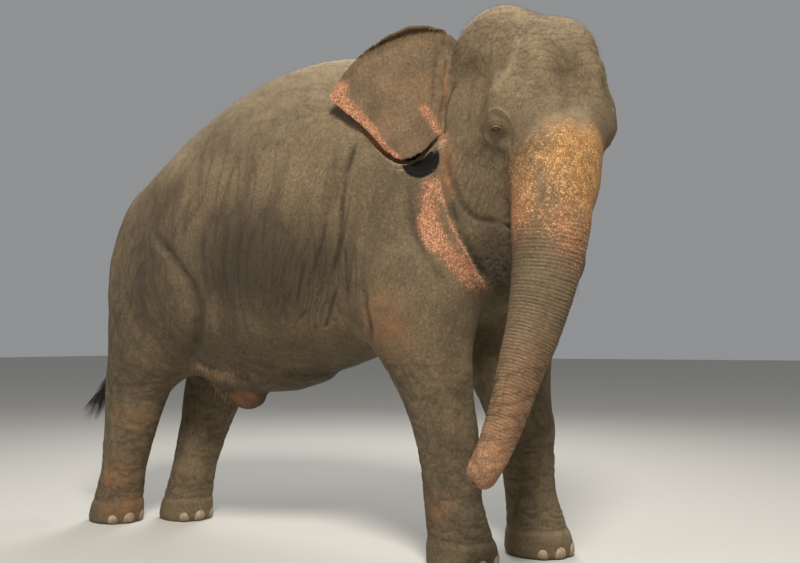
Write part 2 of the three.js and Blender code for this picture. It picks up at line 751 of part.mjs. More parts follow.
// ---------------------------------------------------------------- the scene graph
function meshOf(name, solid) {
  const { vertProperties, triVerts } = solid.getMesh();
  const geometry = new THREE.BufferGeometry();
  geometry.setAttribute('position', new THREE.BufferAttribute(vertProperties.slice(), 3));
  geometry.setIndex(new THREE.BufferAttribute(triVerts.slice(), 1));
  geometry.computeBoundingBox();
  const middle = geometry.boundingBox.getCenter(new THREE.Vector3()).round();
  geometry.translate(-middle.x, -middle.y, -middle.z);
  let finish = { color: skinColour, roughness: 0.85 };
  if (name.startsWith('trunk')) finish = { color: pinkColour, roughness: 0.8 };
  if (name.includes('nail')) finish = { color: nailColour, roughness: 0.55 };
  if (name.startsWith('eye')) finish = { color: eyeColour, roughness: 0.1 };
  if (name === 'tail_brush') finish = { color: hairColour, roughness: 0.6 };
  const mesh = new THREE.Mesh(geometry, new THREE.MeshStandardMaterial({ ...finish, metalness: 0 }));
  mesh.name = name;
  mesh.position.copy(middle);
  if (standOff[name]) mesh.position.add(standOff[name]);
  return mesh;
}

const elephant = new THREE.Group();
for (const [name, solid] of Object.entries(solids)) elephant.add(meshOf(name, solid));

// the origin lies on the ground under the middle of the whole animal
const whole = new THREE.Box3().setFromObject(elephant, true).getCenter(new THREE.Vector3());
for (const mesh of elephant.children) mesh.position.sub(whole.setZ(0));

export default elephant;
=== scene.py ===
# Standing Asian elephant bull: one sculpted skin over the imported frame, with eyes, nails and hair
import math
import time

import bpy
import numpy as np
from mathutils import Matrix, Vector
from mathutils.bvhtree import BVHTree


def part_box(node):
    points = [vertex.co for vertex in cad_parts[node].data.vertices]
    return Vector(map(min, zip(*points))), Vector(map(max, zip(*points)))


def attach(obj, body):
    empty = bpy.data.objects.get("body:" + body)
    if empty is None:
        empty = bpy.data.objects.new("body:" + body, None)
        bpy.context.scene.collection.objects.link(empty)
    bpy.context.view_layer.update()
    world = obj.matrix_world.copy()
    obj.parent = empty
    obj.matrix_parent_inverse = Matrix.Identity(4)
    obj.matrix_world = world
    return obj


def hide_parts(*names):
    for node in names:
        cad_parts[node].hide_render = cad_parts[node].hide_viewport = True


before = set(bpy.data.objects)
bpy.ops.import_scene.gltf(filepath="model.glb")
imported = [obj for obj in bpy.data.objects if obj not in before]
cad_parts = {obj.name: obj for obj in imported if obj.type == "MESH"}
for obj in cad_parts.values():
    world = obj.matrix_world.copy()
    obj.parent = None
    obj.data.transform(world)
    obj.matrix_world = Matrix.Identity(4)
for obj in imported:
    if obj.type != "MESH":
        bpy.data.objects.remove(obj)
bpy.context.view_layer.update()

startedAt = time.time()
sides = (-1, 1)


def report(text):
    print(f"[{time.time() - startedAt:6.1f} s] {text}")


# the animal's volumes are in metres, before it is set over the frame's origin
place = np.array([0.00417, -0.0412, 0.0])

torso = {
    # along the body, top, bottom, half width, share of the height where it is widest
    "sections": [
        (-1.05, 2.52, 1.42, 0.30, 0.50), (-0.80, 2.72, 1.20, 0.44, 0.48), (-0.50, 2.85, 1.10, 0.55, 0.46),
        (-0.15, 2.90, 1.01, 0.64, 0.44), (0.30, 2.81, 0.93, 0.68, 0.44), (0.70, 2.60, 0.93, 0.64, 0.47),
        (1.00, 2.37, 1.06, 0.53, 0.50), (1.15, 2.20, 1.20, 0.43, 0.51),
    ],
    "cap": 0.20,
    # roundness above and below the widest place
    "powers": (2.0, 2.3),
    # centre, radii, softness
    "swellings": [
        ((0, 0.96, 1.72), (0.45, 0.51, 0.64), 0.16),
        ((-0.285, -0.83, 1.64), (0.24, 0.40, 0.56), 0.14),
        ((0.30, -0.96, 1.64), (0.24, 0.39, 0.56), 0.14),
        ((-0.27, 0.98, 1.44), (0.26, 0.39, 0.52), 0.14),
        ((0.25, 0.86, 1.44), (0.26, 0.39, 0.52), 0.14),
        ((-0.06, -1.12, 1.62), (0.20, 0.26, 0.34), 0.14),
        ((0, 0.33, 0.96), (0.26, 0.42, 0.11), 0.12),
    ],
}

# height, radius across, radius fore and aft, shift fore and aft
foreLegUpper = [
    (0.68, 0.165, 0.178, -0.005), (0.88, 0.175, 0.205, 0.010), (1.08, 0.195, 0.260, 0.030),
    (1.30, 0.205, 0.310, 0.050), (1.50, 0.190, 0.300, 0.060),
]
foreLegRight = [
    (0, 0.168, 0.185, -0.015), (0.07, 0.172, 0.190, -0.015), (0.18, 0.162, 0.172, -0.005),
    (0.34, 0.150, 0.158, 0.010), (0.52, 0.155, 0.165, 0),
] + foreLegUpper
foreLegLeft = [
    (0, 0.168, 0.185, -0.015), (0.07, 0.172, 0.190, -0.015), (0.18, 0.154, 0.164, -0.005),
    (0.34, 0.136, 0.144, 0.010), (0.52, 0.146, 0.156, 0),
] + foreLegUpper
hindLeg = [
    (0, 0.155, 0.178, -0.020), (0.07, 0.160, 0.182, -0.025), (0.18, 0.150, 0.162, -0.035),
    (0.34, 0.142, 0.152, -0.040), (0.50, 0.150, 0.168, -0.035), (0.66, 0.160, 0.190, -0.025),
    (0.85, 0.180, 0.230, -0.010), (1.05, 0.205, 0.285, -0.030), (1.25, 0.215, 0.320, -0.060),
    (1.40, 0.200, 0.300, -0.065),
]
legCap = 0.20
# rings, foot and top on the ground plan, height over which it leans from one to the other, extra girth
legs = {
    name: {"rings": rings, "foot": foot, "top": top, "rise": rise, "swell": swell}
    for name, rings, foot, top, rise, swell in (
        ("fore_leg_right", foreLegRight, (-0.27, -1.05), (-0.36, -0.82), 1.9, 0),
        ("fore_leg_left", foreLegLeft, (0.17, -1.33), (0.36, -1.00), 1.9, 0.24),
        ("hind_leg_right", hindLeg, (-0.22, 1.42), (-0.32, 1.00), 1.6, 0),
        ("hind_leg_left", hindLeg, (0.04, 1.06), (0.28, 0.80), 1.6, 0),
    )
}

head = {
    "centre": np.array([-0.10, -1.39, 2.20]),
    "turn": math.radians(-37),
    # on both sides, centre, radii, softness
    "swellings": [
        (0, (0, 0.06, 0.28), (0.375, 0.33, 0.42), 1),
        (1, (0.17, -0.01, 0.49), (0.235, 0.28, 0.26), 0.14),
        (0, (0, -0.20, 0.20), (0.31, 0.19, 0.38), 0.12),
        (1, (0.19, -0.27, 0.14), (0.09, 0.10, 0.28), 0.10),
        (1, (0.28, -0.19, 0.12), (0.12, 0.15, 0.15), 0.10),
        (1, (0.152, 0.02, -0.20), (0.175, 0.27, 0.36), 0.12),
        (0, (-0.03, -0.30, -0.16), (0.225, 0.21, 0.36), 0.12),
        (1, (0.10, -0.06, -0.58), (0.14, 0.24, 0.24), 0.12),
        (0, (0, -0.26, -0.70), (0.09, 0.13, 0.09), 0.08),
    ],
    "hollows": [
        (1, (0.45, -0.03, 0.20), (0.09, 0.13, 0.19), 0.10),
        (0, (0, -0.56, 0.23), (0.13, 0.15, 0.21), 0.12),
    ],
}
neck = {
    "from": (0, -0.70, 2.12), "to": (-0.08, -1.34, 2.30),
    "radiiFrom": (0.42, 0.30, 0.62), "radiiTo": (0.32, 0.30, 0.50),
}
# softness of the joins
joins = {
    "torso": 0.001, "legs": 0.14, "neck": 0.16, "head": 0.12, "trunk": 0.07, "tail": 0.05, "sheath": 0.05,
    "ears": 0.018, "pocket": 0.02, "soles": 0.02,
}
# how far the skin lies inside the plain model's surface
coatDepth = 0.003

# share of the length, centre, radius
trunkLine = [
    (0.00, -0.385, -1.600, 2.050, 0.195), (0.18, -0.460, -1.615, 1.760, 0.196),
    (0.36, -0.500, -1.600, 1.500, 0.166), (0.52, -0.545, -1.560, 1.270, 0.140),
    (0.66, -0.615, -1.510, 1.050, 0.116), (0.80, -0.697, -1.466, 0.835, 0.098),
    (0.91, -0.776, -1.420, 0.665, 0.084), (1.00, -0.825, -1.386, 0.576, 0.077),
]
tailLine = [
    (0.00, 0, 1.30, 2.12, 0.085), (0.22, 0.01, 1.49, 1.84, 0.058), (0.45, 0.02, 1.57, 1.48, 0.044),
    (0.70, 0.02, 1.62, 1.12, 0.034), (0.86, 0.01, 1.69, 0.90, 0.028), (1.00, 0, 1.80, 0.80, 0.022),
]
sheath = {"centre": (-0.02, 0.56, 0.88), "radii": (0.085, 0.21, 0.13), "tilt": math.radians(24)}

ear = {
    "root": np.array([0.40, 0.17, 0.62]),
    # back from the root and down from its top
    "outline": [
        (-0.05, 0.02), (0.08, -0.04), (0.19, -0.035), (0.32, 0.015), (0.47, 0.10), (0.56, 0.18),
        (0.66, 0.32), (0.56, 0.42), (0.45, 0.52), (0.34, 0.65), (0.25, 0.70), (0.14, 0.65),
        (0.05, 0.55), (-0.05, 0.46), (-0.06, 0.24),
    ],
    "topEdge": [(-0.05, 0.02), (0.08, -0.04), (0.19, -0.035), (0.32, 0.015), (0.47, 0.10), (0.56, 0.18)],
    "swing": {-1: math.radians(57), 1: math.radians(22)},
    # half thickness at the rim, in the middle, and for the first net of points
    "rimHalf": 0.0045, "midHalf": 0.012, "netHalf": 0.0145, "rimReach": 0.22,
    "bow": 0.05, "sag": 0.03, "lean": 0.02, "length": 0.66, "hub": 0.30, "drop": 0.65,
    # the roll along the top: back from the root, down from its top, thickness
    "roll": [
        (-0.01, -0.020, 0.006), (0.10, -0.034, 0.013), (0.20, -0.026, 0.016), (0.32, 0.020, 0.014),
        (0.46, 0.102, 0.006),
    ],
    "rollLift": 0.018,
    # the space behind it, and the hollow below the lobe, painted with black shadow, in the head's frame
    "pocket": 0.060, "pocketRim": 0.045,
    "shadowedHollow": ((0.575, 0.158, -0.074), (0.074, 0.090, 0.082)),
}


# distance fields, on rows of points
def softMin(a, b, soft):
    h = np.clip(0.5 + 0.5 * (b - a) / soft, 0, 1)
    return b + (a - b) * h - soft * h * (1 - h)


def softMax(a, b, soft):
    return -softMin(-a, -b, soft)


def smooth(t):
    t = np.clip(t, 0, 1)
    return t * t * (3 - 2 * t)


def rowAt(table, t):
    # a smooth table: each row is a place along it and the values there
    rows = np.asarray(table, np.float32)
    x, y = rows[:, 0], rows[:, 1:]
    slope = np.empty_like(y)
    slope[1:-1] = (y[2:] - y[:-2]) / (x[2:] - x[:-2])[:, None]
    slope[0] = (y[1] - y[0]) / (x[1] - x[0])
    slope[-1] = (y[-1] - y[-2]) / (x[-1] - x[-2])
    t = np.clip(t, x[0], x[-1])
    i = np.clip(np.searchsorted(x, t, side="right") - 1, 0, len(x) - 2)
    h = (x[i + 1] - x[i])[..., None]
    u = ((t - x[i])[..., None]) / h
    v = 1 - u
    start = (1 + 2 * u) * v * v * y[i] + u * v * v * h * slope[i]
    return start + u * u * (3 - 2 * u) * y[i + 1] - u * u * v * h * slope[i + 1]


def length(rows):
    return np.sqrt(np.einsum("ij,ij->i", rows, rows))


def mirrored(point, side):
    return np.array((side * point[0], *point[1:]), np.float32)


def ellipsoid(q, radii):
    r = np.asarray(radii, np.float32)
    s = q / r
    k0 = length(s) + 1e-6
    return k0 * (k0 - 1) / (length(s / r) + 1e-6)


def torsoField(p):
    top, bottom, halfWidth, share = rowAt(torso["sections"], p[:, 1]).T
    middle = bottom + share * (top - bottom)
    above = p[:, 2] > middle
    halfHeight = np.where(above, top - middle, middle - bottom)
    n = np.where(above, *torso["powers"]).astype(np.float32)
    first, last = torso["sections"][0][0], torso["sections"][-1][0]
    cap = torso["cap"]
    over = np.maximum(np.maximum(first - p[:, 1], p[:, 1] - last), 0) / cap
    u = np.abs(p[:, 0]) / halfWidth
    v = np.abs(p[:, 2] - middle) / halfHeight
    k0 = (u ** n + v ** n + over ** n + 1e-9) ** (1 / n)
    slopes = [(x ** (n - 1) / size) ** 2 for x, size in ((u, halfWidth), (v, halfHeight), (over, cap))]
    return (k0 - 1) * np.maximum(k0, 0.2) ** (n - 1) / (np.sqrt(sum(slopes)) + 1e-6)


def legRings(leg):
    rings = []
    for height, across, along, shift in leg["rings"]:
        ease = float(smooth(height / leg["rise"]))
        girth = 1 + leg["swell"] * ease
        x, y = (foot + (top - foot) * ease for foot, top in zip(leg["foot"], leg["top"]))
        rings.append((height, x, y + shift, across * girth, along * girth))
    return rings


for leg in legs.values():
    leg["centres"] = legRings(leg)


def legField(leg, p):
    s = rowAt(leg["centres"], p[:, 2])
    over = np.maximum(p[:, 2] - leg["centres"][-1][0], 0) / legCap
    u = (p[:, 0] - s[:, 0]) / s[:, 2]
    v = (p[:, 1] - s[:, 1]) / s[:, 3]
    k0 = np.sqrt(u * u + v * v + over * over) + 1e-6
    steep = np.sqrt((u / s[:, 2]) ** 2 + (v / s[:, 3]) ** 2 + (over / legCap) ** 2) + 1e-6
    return (k0 - 1) * np.maximum(k0, 0.2) / steep


def legsField(p):
    d = np.full(len(p), 0.5, np.float32)
    for leg in legs.values():
        d = np.minimum(d, legField(leg, p))
    return d


cosTurn, sinTurn = math.cos(head["turn"]), math.sin(head["turn"])
headAxes = np.array([[cosTurn, -sinTurn, 0], [sinTurn, cosTurn, 0], [0, 0, 1]])


def toHead(p):
    return ((p - head["centre"]) @ headAxes).astype(np.float32)


def fromHead(q):
    return np.asarray(q, float) @ headAxes.T + head["centre"]


def headField(p):
    q = toHead(p)
    d = np.full(len(p), 9, np.float32)
    for rows, sign, join in ((head["swellings"], 1, softMin), (head["hollows"], -1, softMax)):
        for paired, centre, radii, soft in rows:
            for side in ((1, -1) if paired else (1,)):
                d = join(d, sign * ellipsoid(q - mirrored(centre, side), radii), soft)
    return d


def neckField(p):
    a, b = np.array(neck["from"]), np.array(neck["to"])
    run = (b - a).astype(np.float32)
    rel = p - a.astype(np.float32)
    t = np.clip(rel @ run / (run @ run), 0, 1)[:, None]
    radii = np.array(neck["radiiFrom"], np.float32) * (1 - t) + np.array(neck["radiiTo"], np.float32) * t
    return ellipsoid(rel - t * run, radii)


def alongLine(line, steps, p, byAxis=False):
    # gap to a line's skin and share of the way along it; by axis, the share is even on a tapering line
    nodes = rowAt(line, np.linspace(0, 1, steps + 1).astype(np.float32))
    best = np.full(len(p), 9, np.float32)
    gap, share = np.zeros(len(p), np.float32), np.zeros(len(p), np.float32)
    for i in range(steps):
        a, b = nodes[i], nodes[i + 1]
        run = b[:3] - a[:3]
        rel = p - a[:3]
        t = np.clip(rel @ run / (run @ run), 0, 1)
        away = length(rel - t[:, None] * run)
        radius = a[3] + t * (b[3] - a[3])
        rank = away if byAxis else away - radius
        closer = rank < best
        best[closer] = rank[closer]
        gap[closer] = (away - radius)[closer]
        share[closer] = (i + t[closer]) / steps
    return gap, share


def unit(row):
    return row / np.linalg.norm(row)


trunkTip = {
    # two nostrils and the finger on the front edge, on axes at the end of the trunk
    "end": np.array(trunkLine[-1][1:4]), "below": 0.75,
    "nostril": (0.018, 0.004, 0.068), "nostrilRadii": (0.011, 0.017, 0.040), "nostrilSoft": 0.012,
    "finger": (0.0, 0.044, 0.034), "fingerRadii": (0.032, 0.028, 0.034), "fingerSoft": 0.03,
}
wayDown = unit(np.array(trunkLine[-1][1:4]) - np.array(trunkLine[-2][1:4]))
trunkFront = np.array([math.sin(head["turn"]), -math.cos(head["turn"]), 0.0])
trunkFront = unit(trunkFront - wayDown * (trunkFront @ wayDown))
trunkTip["axes"] = np.stack([np.cross(wayDown, trunkFront), trunkFront, wayDown], 1)


def trunkField(p):
    d, _ = alongLine(trunkLine, 32, p)
    low = p[:, 2] < trunkTip["below"]
    if low.any():
        q = ((p[low] - trunkTip["end"]) @ trunkTip["axes"]).astype(np.float32)
        finger = ellipsoid(q - mirrored(trunkTip["finger"], 1), trunkTip["fingerRadii"])
        tip = softMin(d[low], finger, trunkTip["fingerSoft"])
        for side in (1, -1):
            hole = ellipsoid(q - mirrored(trunkTip["nostril"], side), trunkTip["nostrilRadii"])
            tip = softMax(tip, -hole, trunkTip["nostrilSoft"])
        d[low] = tip
    return d


def tailField(p):
    return alongLine(tailLine, 20, p)[0]


def sheathField(p):
    q = p - np.array(sheath["centre"], np.float32)
    c, s = math.cos(sheath["tilt"]), math.sin(sheath["tilt"])
    q = np.stack([q[:, 0], c * q[:, 1] + s * q[:, 2], c * q[:, 2] - s * q[:, 1]], 1)
    return ellipsoid(q, sheath["radii"])


def closedCurve(corners, per, tension=0.35):
    pts = np.array(corners, float)
    after = np.roll(pts, -1, 0)
    slope = tension * (after - np.roll(pts, 1, 0))
    nextSlope = np.roll(slope, -1, 0)
    t = (np.arange(per) / per)[None, :, None]
    curve = ((2 * t ** 3 - 3 * t ** 2 + 1) * pts[:, None] + (t ** 3 - 2 * t ** 2 + t) * slope[:, None]
             + (3 * t ** 2 - 2 * t ** 3) * after[:, None] + (t ** 3 - t ** 2) * nextSlope[:, None])
    return curve.reshape(-1, 2)


ear["edge"] = closedCurve(ear["outline"], 5)


def edgeDistance(u, v):
    # distance to the ear's edge, negative inside it
    best = np.full(len(u), 9, np.float32)
    inside = np.zeros(len(u), bool)
    for a, b in zip(ear["edge"], np.roll(ear["edge"], -1, 0)):
        e = b - a
        wu, wv = u - a[0], v - a[1]
        t = np.clip((wu * e[0] + wv * e[1]) / (e @ e), 0, 1)
        best = np.minimum(best, (wu - t * e[0]) ** 2 + (wv - t * e[1]) ** 2)
        crosses = (a[1] > v) != (b[1] > v)
        rise = e[1] if abs(e[1]) > 1e-9 else 1e-9
        inside ^= crosses & (u < a[0] + wv * e[0] / rise)
    best = np.sqrt(best)
    return np.where(inside, -best, best)


def earPlane(side):
    f = ear["swing"][side]
    back = np.array([side * math.sin(f), math.cos(f), 0])
    out = np.array([side * math.cos(f), -math.sin(f), 0])
    return back, out


def earCoordinates(p, side):
    # back from the root, down from its top, and outward
    back, out = earPlane(side)
    q = toHead(p) - (ear["root"] * np.array([side, 1, 1])).astype(np.float32)
    v = -q[:, 2]
    u = q @ back.astype(np.float32) + ear["lean"] * v
    return u, v, q @ out.astype(np.float32)


def earLift(u, v):
    # bowed, with slow waves along the hem, and the top edge rolled outward
    along = np.clip(u / ear["length"], 0, 1)
    hem = np.clip((v - ear["hub"]) / (ear["drop"] - ear["hub"]), 0, 1)
    wave = 0.006 * np.sin(17 * u + 5 * v) * smooth(u / 0.3)
    wave += 0.004 * np.sin(31 * v - 12 * u + 1) * smooth((u - 0.2) / 0.3)
    top = np.interp(u, *zip(*ear["topEdge"]))
    roll = ear["rollLift"] * smooth((0.075 - (v - top)) / 0.07)
    return ear["bow"] * np.sin(np.pi * along) + ear["sag"] * hem * hem + wave + roll * (u < 0.6)


def earRoll(u):
    # the roll's height and thickness
    rows = np.array(ear["roll"], np.float32)
    return np.interp(u, rows[:, 0], rows[:, 1]), np.interp(u, rows[:, 0], rows[:, 2])


def earField(p, side, fat):
    u, v, w = earCoordinates(p, side)
    edge = edgeDistance(u, v)
    inward = np.sqrt(np.clip(-edge / ear["rimReach"], 0, 1))
    half = ear["netHalf"] if fat else ear["rimHalf"] + (ear["midHalf"] - ear["rimHalf"]) * inward
    middle = earLift(u, v)
    sheet = softMax(np.abs(w - middle) - half, edge, 0.012 if fat else 0.006)
    top, thick = earRoll(u)
    roll = np.sqrt((v - top) ** 2 + (w - middle - thick * 0.9) ** 2) - thick
    roll = np.maximum(roll, np.maximum(ear["roll"][0][0] - u, u - ear["roll"][-1][0]))
    return softMin(sheet, roll, 0.007)


def hollowGap(q, side):
    # 1 on the hollow's wall, less inside
    centre, radii = ear["shadowedHollow"]
    return length((q - mirrored(centre, side)) / np.array(radii, np.float32))


def earPocket(p, side):
    # the space behind the ear that keeps it off the neck, and the hollow below the lobe
    u, v, w = earCoordinates(p, side)
    edge = edgeDistance(u, v)
    depth = ear["pocket"] * smooth((u - 0.02) / 0.16) * smooth((ear["pocketRim"] - edge) / 0.06)
    behind = earLift(u, v) - w
    space = np.max([behind - depth, -behind - 0.10, edge - ear["pocketRim"], 0.02 - u], 0)
    centre, radii = ear["shadowedHollow"]
    return softMin(space, ellipsoid(toHead(p) - mirrored(centre, side), radii), joins["pocket"])


def nearEar(p, side):
    u, v, w = earCoordinates(p, side)
    return (edgeDistance(u, v) < 0.02) & (np.abs(w - earLift(u, v)) < 0.05)


def around(centre, radii, margin=0.2):
    c, r = np.array(centre), np.max(radii) + margin
    return c - r, c + r


def lineBox(line, margin):
    spots = np.array(line)[:, 1:4]
    return spots.min(0) - margin, spots.max(0) + margin


# box that holds it, field, softness of the join
volumes = [(np.array([-1.0, -1.5, 0.6]), np.array([1.0, 1.6, 3.1]), torsoField, joins["torso"])]
for centre, radii, soft in torso["swellings"]:
    middle = np.array(centre, np.float32)
    volumes.append((*around(centre, radii), lambda p, c=middle, r=radii: ellipsoid(p - c, r), soft))
volumes += [
    (np.array([-0.9, -1.95, -0.1]), np.array([0.9, 1.9, 1.95]), legsField, joins["legs"]),
    (np.array([-0.75, -1.95, 1.2]), np.array([0.75, -0.2, 3.1]), neckField, joins["neck"]),
    (head["centre"] - [0.75, 0.85, 1.05], head["centre"] + [0.75, 0.75, 1.0], headField, joins["head"]),
    (*lineBox(trunkLine, 0.32), trunkField, joins["trunk"]),
    (*lineBox(tailLine, 0.2), tailField, joins["tail"]),
    (*around(sheath["centre"], sheath["radii"], 0.12), sheathField, joins["sheath"]),
]
# the middle of each ear's box, from its root: back, then down
earMiddle = (0.3, 0.33)


def skinField(p, fat=False):
    d = np.full(len(p), 0.45, np.float32)
    if not len(p):
        return d
    low, high = p.min(0), p.max(0)
    parts = list(volumes)
    for side in sides:
        root = ear["root"] * np.array([side, 1, 1])
        middle = fromHead(root + earPlane(side)[0] * earMiddle[0] - np.array([0, 0, earMiddle[1]]))
        parts.append((middle - 0.5, middle + 0.5, lambda q, s=side: earPocket(q, s), None))
        parts.append((middle - 0.5, middle + 0.5, lambda q, s=side: earField(q, s, fat), joins["ears"]))
    for boxLow, boxHigh, field, soft in parts:
        if (low > boxHigh).any() or (high < boxLow).any():
            continue
        near = ((p > boxLow) & (p < boxHigh)).all(1)
        if not near.any():
            continue
        if soft is None:
            d[near] = softMax(d[near], -field(p[near]), joins["pocket"])
        else:
            d[near] = softMin(d[near], field(p[near]), soft)
    return softMax(d + coatDepth, -p[:, 2], joins["soles"])


def inPieces(function, p, size=60000):
    if len(p) <= size:
        return function(p)
    return np.concatenate([function(c) for c in np.array_split(p, -(-len(p) // size))])


# a mesh of a field's surface
cellCorners = [(i, j, k) for i in (0, 1) for j in (0, 1) for k in (0, 1)]


def atCorner(grid, corner):
    # what every cell of the grid has at one of its corners
    return grid[tuple(slice(i, n - 1 + i) for i, n in zip(corner, grid.shape))]


def enlarged(grid, step):
    for axis in range(3):
        grid = np.repeat(grid, step, axis)
    return grid


def surfaceMesh(field, low, high, cell, step=4):
    # wide cells first, then the fine ones near the surface, each with one point if the surface crosses it
    low = np.array(low, np.float32)
    count = [int(math.ceil((h - l) / cell / step)) * step + 1 for l, h in zip(low, high)]
    axes = [(low[i] + cell * np.arange(count[i])).astype(np.float32) for i in range(3)]
    rough = np.stack(np.meshgrid(*[a[::step] for a in axes], indexing="ij"), -1)
    values = inPieces(field, rough.reshape(-1, 3)).reshape(rough.shape[:3])
    near = np.abs(values) < cell * step * 1.7
    wide = enlarged(np.any([atCorner(near, c) for c in cellCorners], 0), step)
    fine = np.zeros(count, bool)
    for corner in cellCorners:
        cells = atCorner(fine, corner)
        cells |= wide
    level = np.ones(count, np.float32)
    level[:-1, :-1, :-1] = enlarged(np.sign(values[:-1, :-1, :-1]), step)
    where = np.argwhere(fine)
    level[fine] = inPieces(field, np.stack([axes[i][where[:, i]] for i in range(3)], -1))
    inside = level < 0
    tally = sum(atCorner(inside, c).astype(np.int8) for c in cellCorners)
    crossed = (tally > 0) & (tally < 8)
    index = np.full(crossed.shape, -1, np.int64)
    index[crossed] = np.arange(crossed.sum())
    total = np.zeros((int(crossed.sum()), 3), np.float32)
    weight = np.zeros(len(total), np.float32)
    at = {c: atCorner(level, c)[crossed] for c in cellCorners}
    for a in cellCorners:
        for axis in range(3):
            if a[axis]:
                continue
            b = tuple(1 if i == axis else a[i] for i in range(3))
            cut = (at[a] < 0) != (at[b] < 0)
            t = at[a][cut] / (at[a][cut] - at[b][cut])
            add = np.tile(np.array(a, np.float32), (len(t), 1))
            add[:, axis] += t
            total[cut] += add
            weight[cut] += 1
    points = low + cell * (np.argwhere(crossed) + total / weight[:, None])
    quads = []
    for axis in range(3):
        others = [(axis + 1) % 3, (axis + 2) % 3]
        start = np.delete(inside, -1, axis)
        ijk = np.argwhere(start != np.delete(inside, 0, axis))
        for o in others:
            ijk = ijk[(ijk[:, o] > 0) & (ijk[:, o] < count[o] - 1)]
        flip = ~start[tuple(ijk.T)]
        e0, e1 = np.eye(3, dtype=int)[others]
        quad = np.stack([index[tuple((ijk - e).T)] for e in (e0 + e1, e1, 0 * e0, e0)], 1)
        quad[flip] = quad[flip][:, ::-1]
        quads.append(quad)
    quads = np.concatenate(quads)
    triangles = np.concatenate([quads[:, [0, 1, 2]], quads[:, [0, 2, 3]]])
    return points.astype(np.float32), triangles


def refine(points, triangles, wanted):
    # splits each wanted triangle in four and matches its neighbours
    ends = np.sort(np.concatenate([triangles[:, [0, 1]], triangles[:, [1, 2]], triangles[:, [2, 0]]]), axis=1)
    keys, edges = np.unique(ends[:, 0] * np.int64(len(points)) + ends[:, 1], return_inverse=True)
    edgeOf = edges.reshape(3, -1).T
    split = np.zeros(len(keys), bool)
    split[edgeOf[wanted].ravel()] = True
    while True:
        two = split[edgeOf].sum(1) == 2
        if not two.any():
            break
        split[edgeOf[two].ravel()] = True
    number = np.cumsum(split) - 1 + len(points)
    a, b = keys[split] // len(points), keys[split] % len(points)
    points = np.concatenate([points, (points[a] + points[b]) / 2])
    amount = split[edgeOf].sum(1)
    kept = triangles[amount == 0]
    t, e = triangles[amount == 3].T, number[edgeOf[amount == 3]].T
    four = [(t[0], e[0], e[2]), (t[1], e[1], e[0]), (t[2], e[2], e[1]), e]
    t, s = triangles[amount == 1], split[edgeOf[amount == 1]]
    turn, rows = np.argmax(s, 1), np.arange(len(t))
    first, second, third = (t[rows, (turn + k) % 3] for k in range(3))
    middle = number[edgeOf[amount == 1]][rows, turn]
    two = [(first, middle, third), (middle, second, third)]
    return points, np.concatenate([kept, *(np.stack(c, 1) for c in four + two)])


def normalsOf(points, triangles):
    a, b, c = (points[triangles[:, i]] for i in range(3))
    across = np.cross(b - a, c - a)
    total = [sum(np.bincount(t, across[:, k], len(points)) for t in triangles.T) for k in range(3)]
    total = np.stack(total, 1)
    return total / (np.linalg.norm(total, axis=1, keepdims=True) + 1e-12)


def settle(points, field, limit, reach=0.0008):
    # moves points onto the field's surface
    away = np.array([[1, -1, -1], [-1, -1, 1], [-1, 1, -1], [1, 1, 1]], np.float32)
    levels = [inPieces(field, points + reach * a) for a in away]
    slope = sum(level[:, None] * a for level, a in zip(levels, away)) / (4 * reach)
    value = sum(levels) / 4
    move = -value[:, None] * slope / (np.einsum("ij,ij->i", slope, slope)[:, None] + 0.05)
    far = np.linalg.norm(move, axis=1, keepdims=True)
    return points + move * np.minimum(1, limit / (far + 1e-9))


# whole numbers that mix a place on the noise's grid and a seed
noiseMix = {"axes": np.array([374761393, 668265263, 1442695041]), "seed": 97531, "stir": 1274126177}


def smoothNoise(q, seed=0):
    # from -1 to 1, the same for the same place and seed
    base = np.floor(q).astype(np.int64)
    f = q - base
    f = f * f * (3 - 2 * f)
    total = 0
    for corner in cellCorners:
        mix = (base + corner) @ noiseMix["axes"] + seed * noiseMix["seed"]
        mix = (mix ^ (mix >> 13)) * noiseMix["stir"] & 0xffffffff
        mix = (mix ^ (mix >> 16)) & 0xffff
        x, y, z = np.where(corner, f, 1 - f).T
        total = total + x * y * z * (mix / 32767.5 - 1)
    return total


def meshObject(name, points, triangles, smoothShading=True):
    mesh = bpy.data.meshes.new(name)
    mesh.vertices.add(len(points))
    mesh.vertices.foreach_set("co", np.asarray(points, np.float32).ravel())
    mesh.loops.add(triangles.size)
    mesh.loops.foreach_set("vertex_index", triangles.astype(np.int32).ravel())
    mesh.polygons.add(len(triangles))
    mesh.polygons.foreach_set("loop_start", np.arange(0, triangles.size, 3, dtype=np.int32))
    mesh.polygons.foreach_set("use_smooth", np.full(len(triangles), smoothShading))
    mesh.update(calc_edges=True)
    mesh.validate()
    piece = bpy.data.objects.new(name, mesh)
    bpy.context.collection.objects.link(piece)
    return piece


def addValues(piece, **layers):
    # one number for each point, which the finishes read
    for name, values in layers.items():
        layer = piece.data.attributes.new(name, "FLOAT", "POINT")
        layer.data.foreach_set("value", np.asarray(values, np.float32))


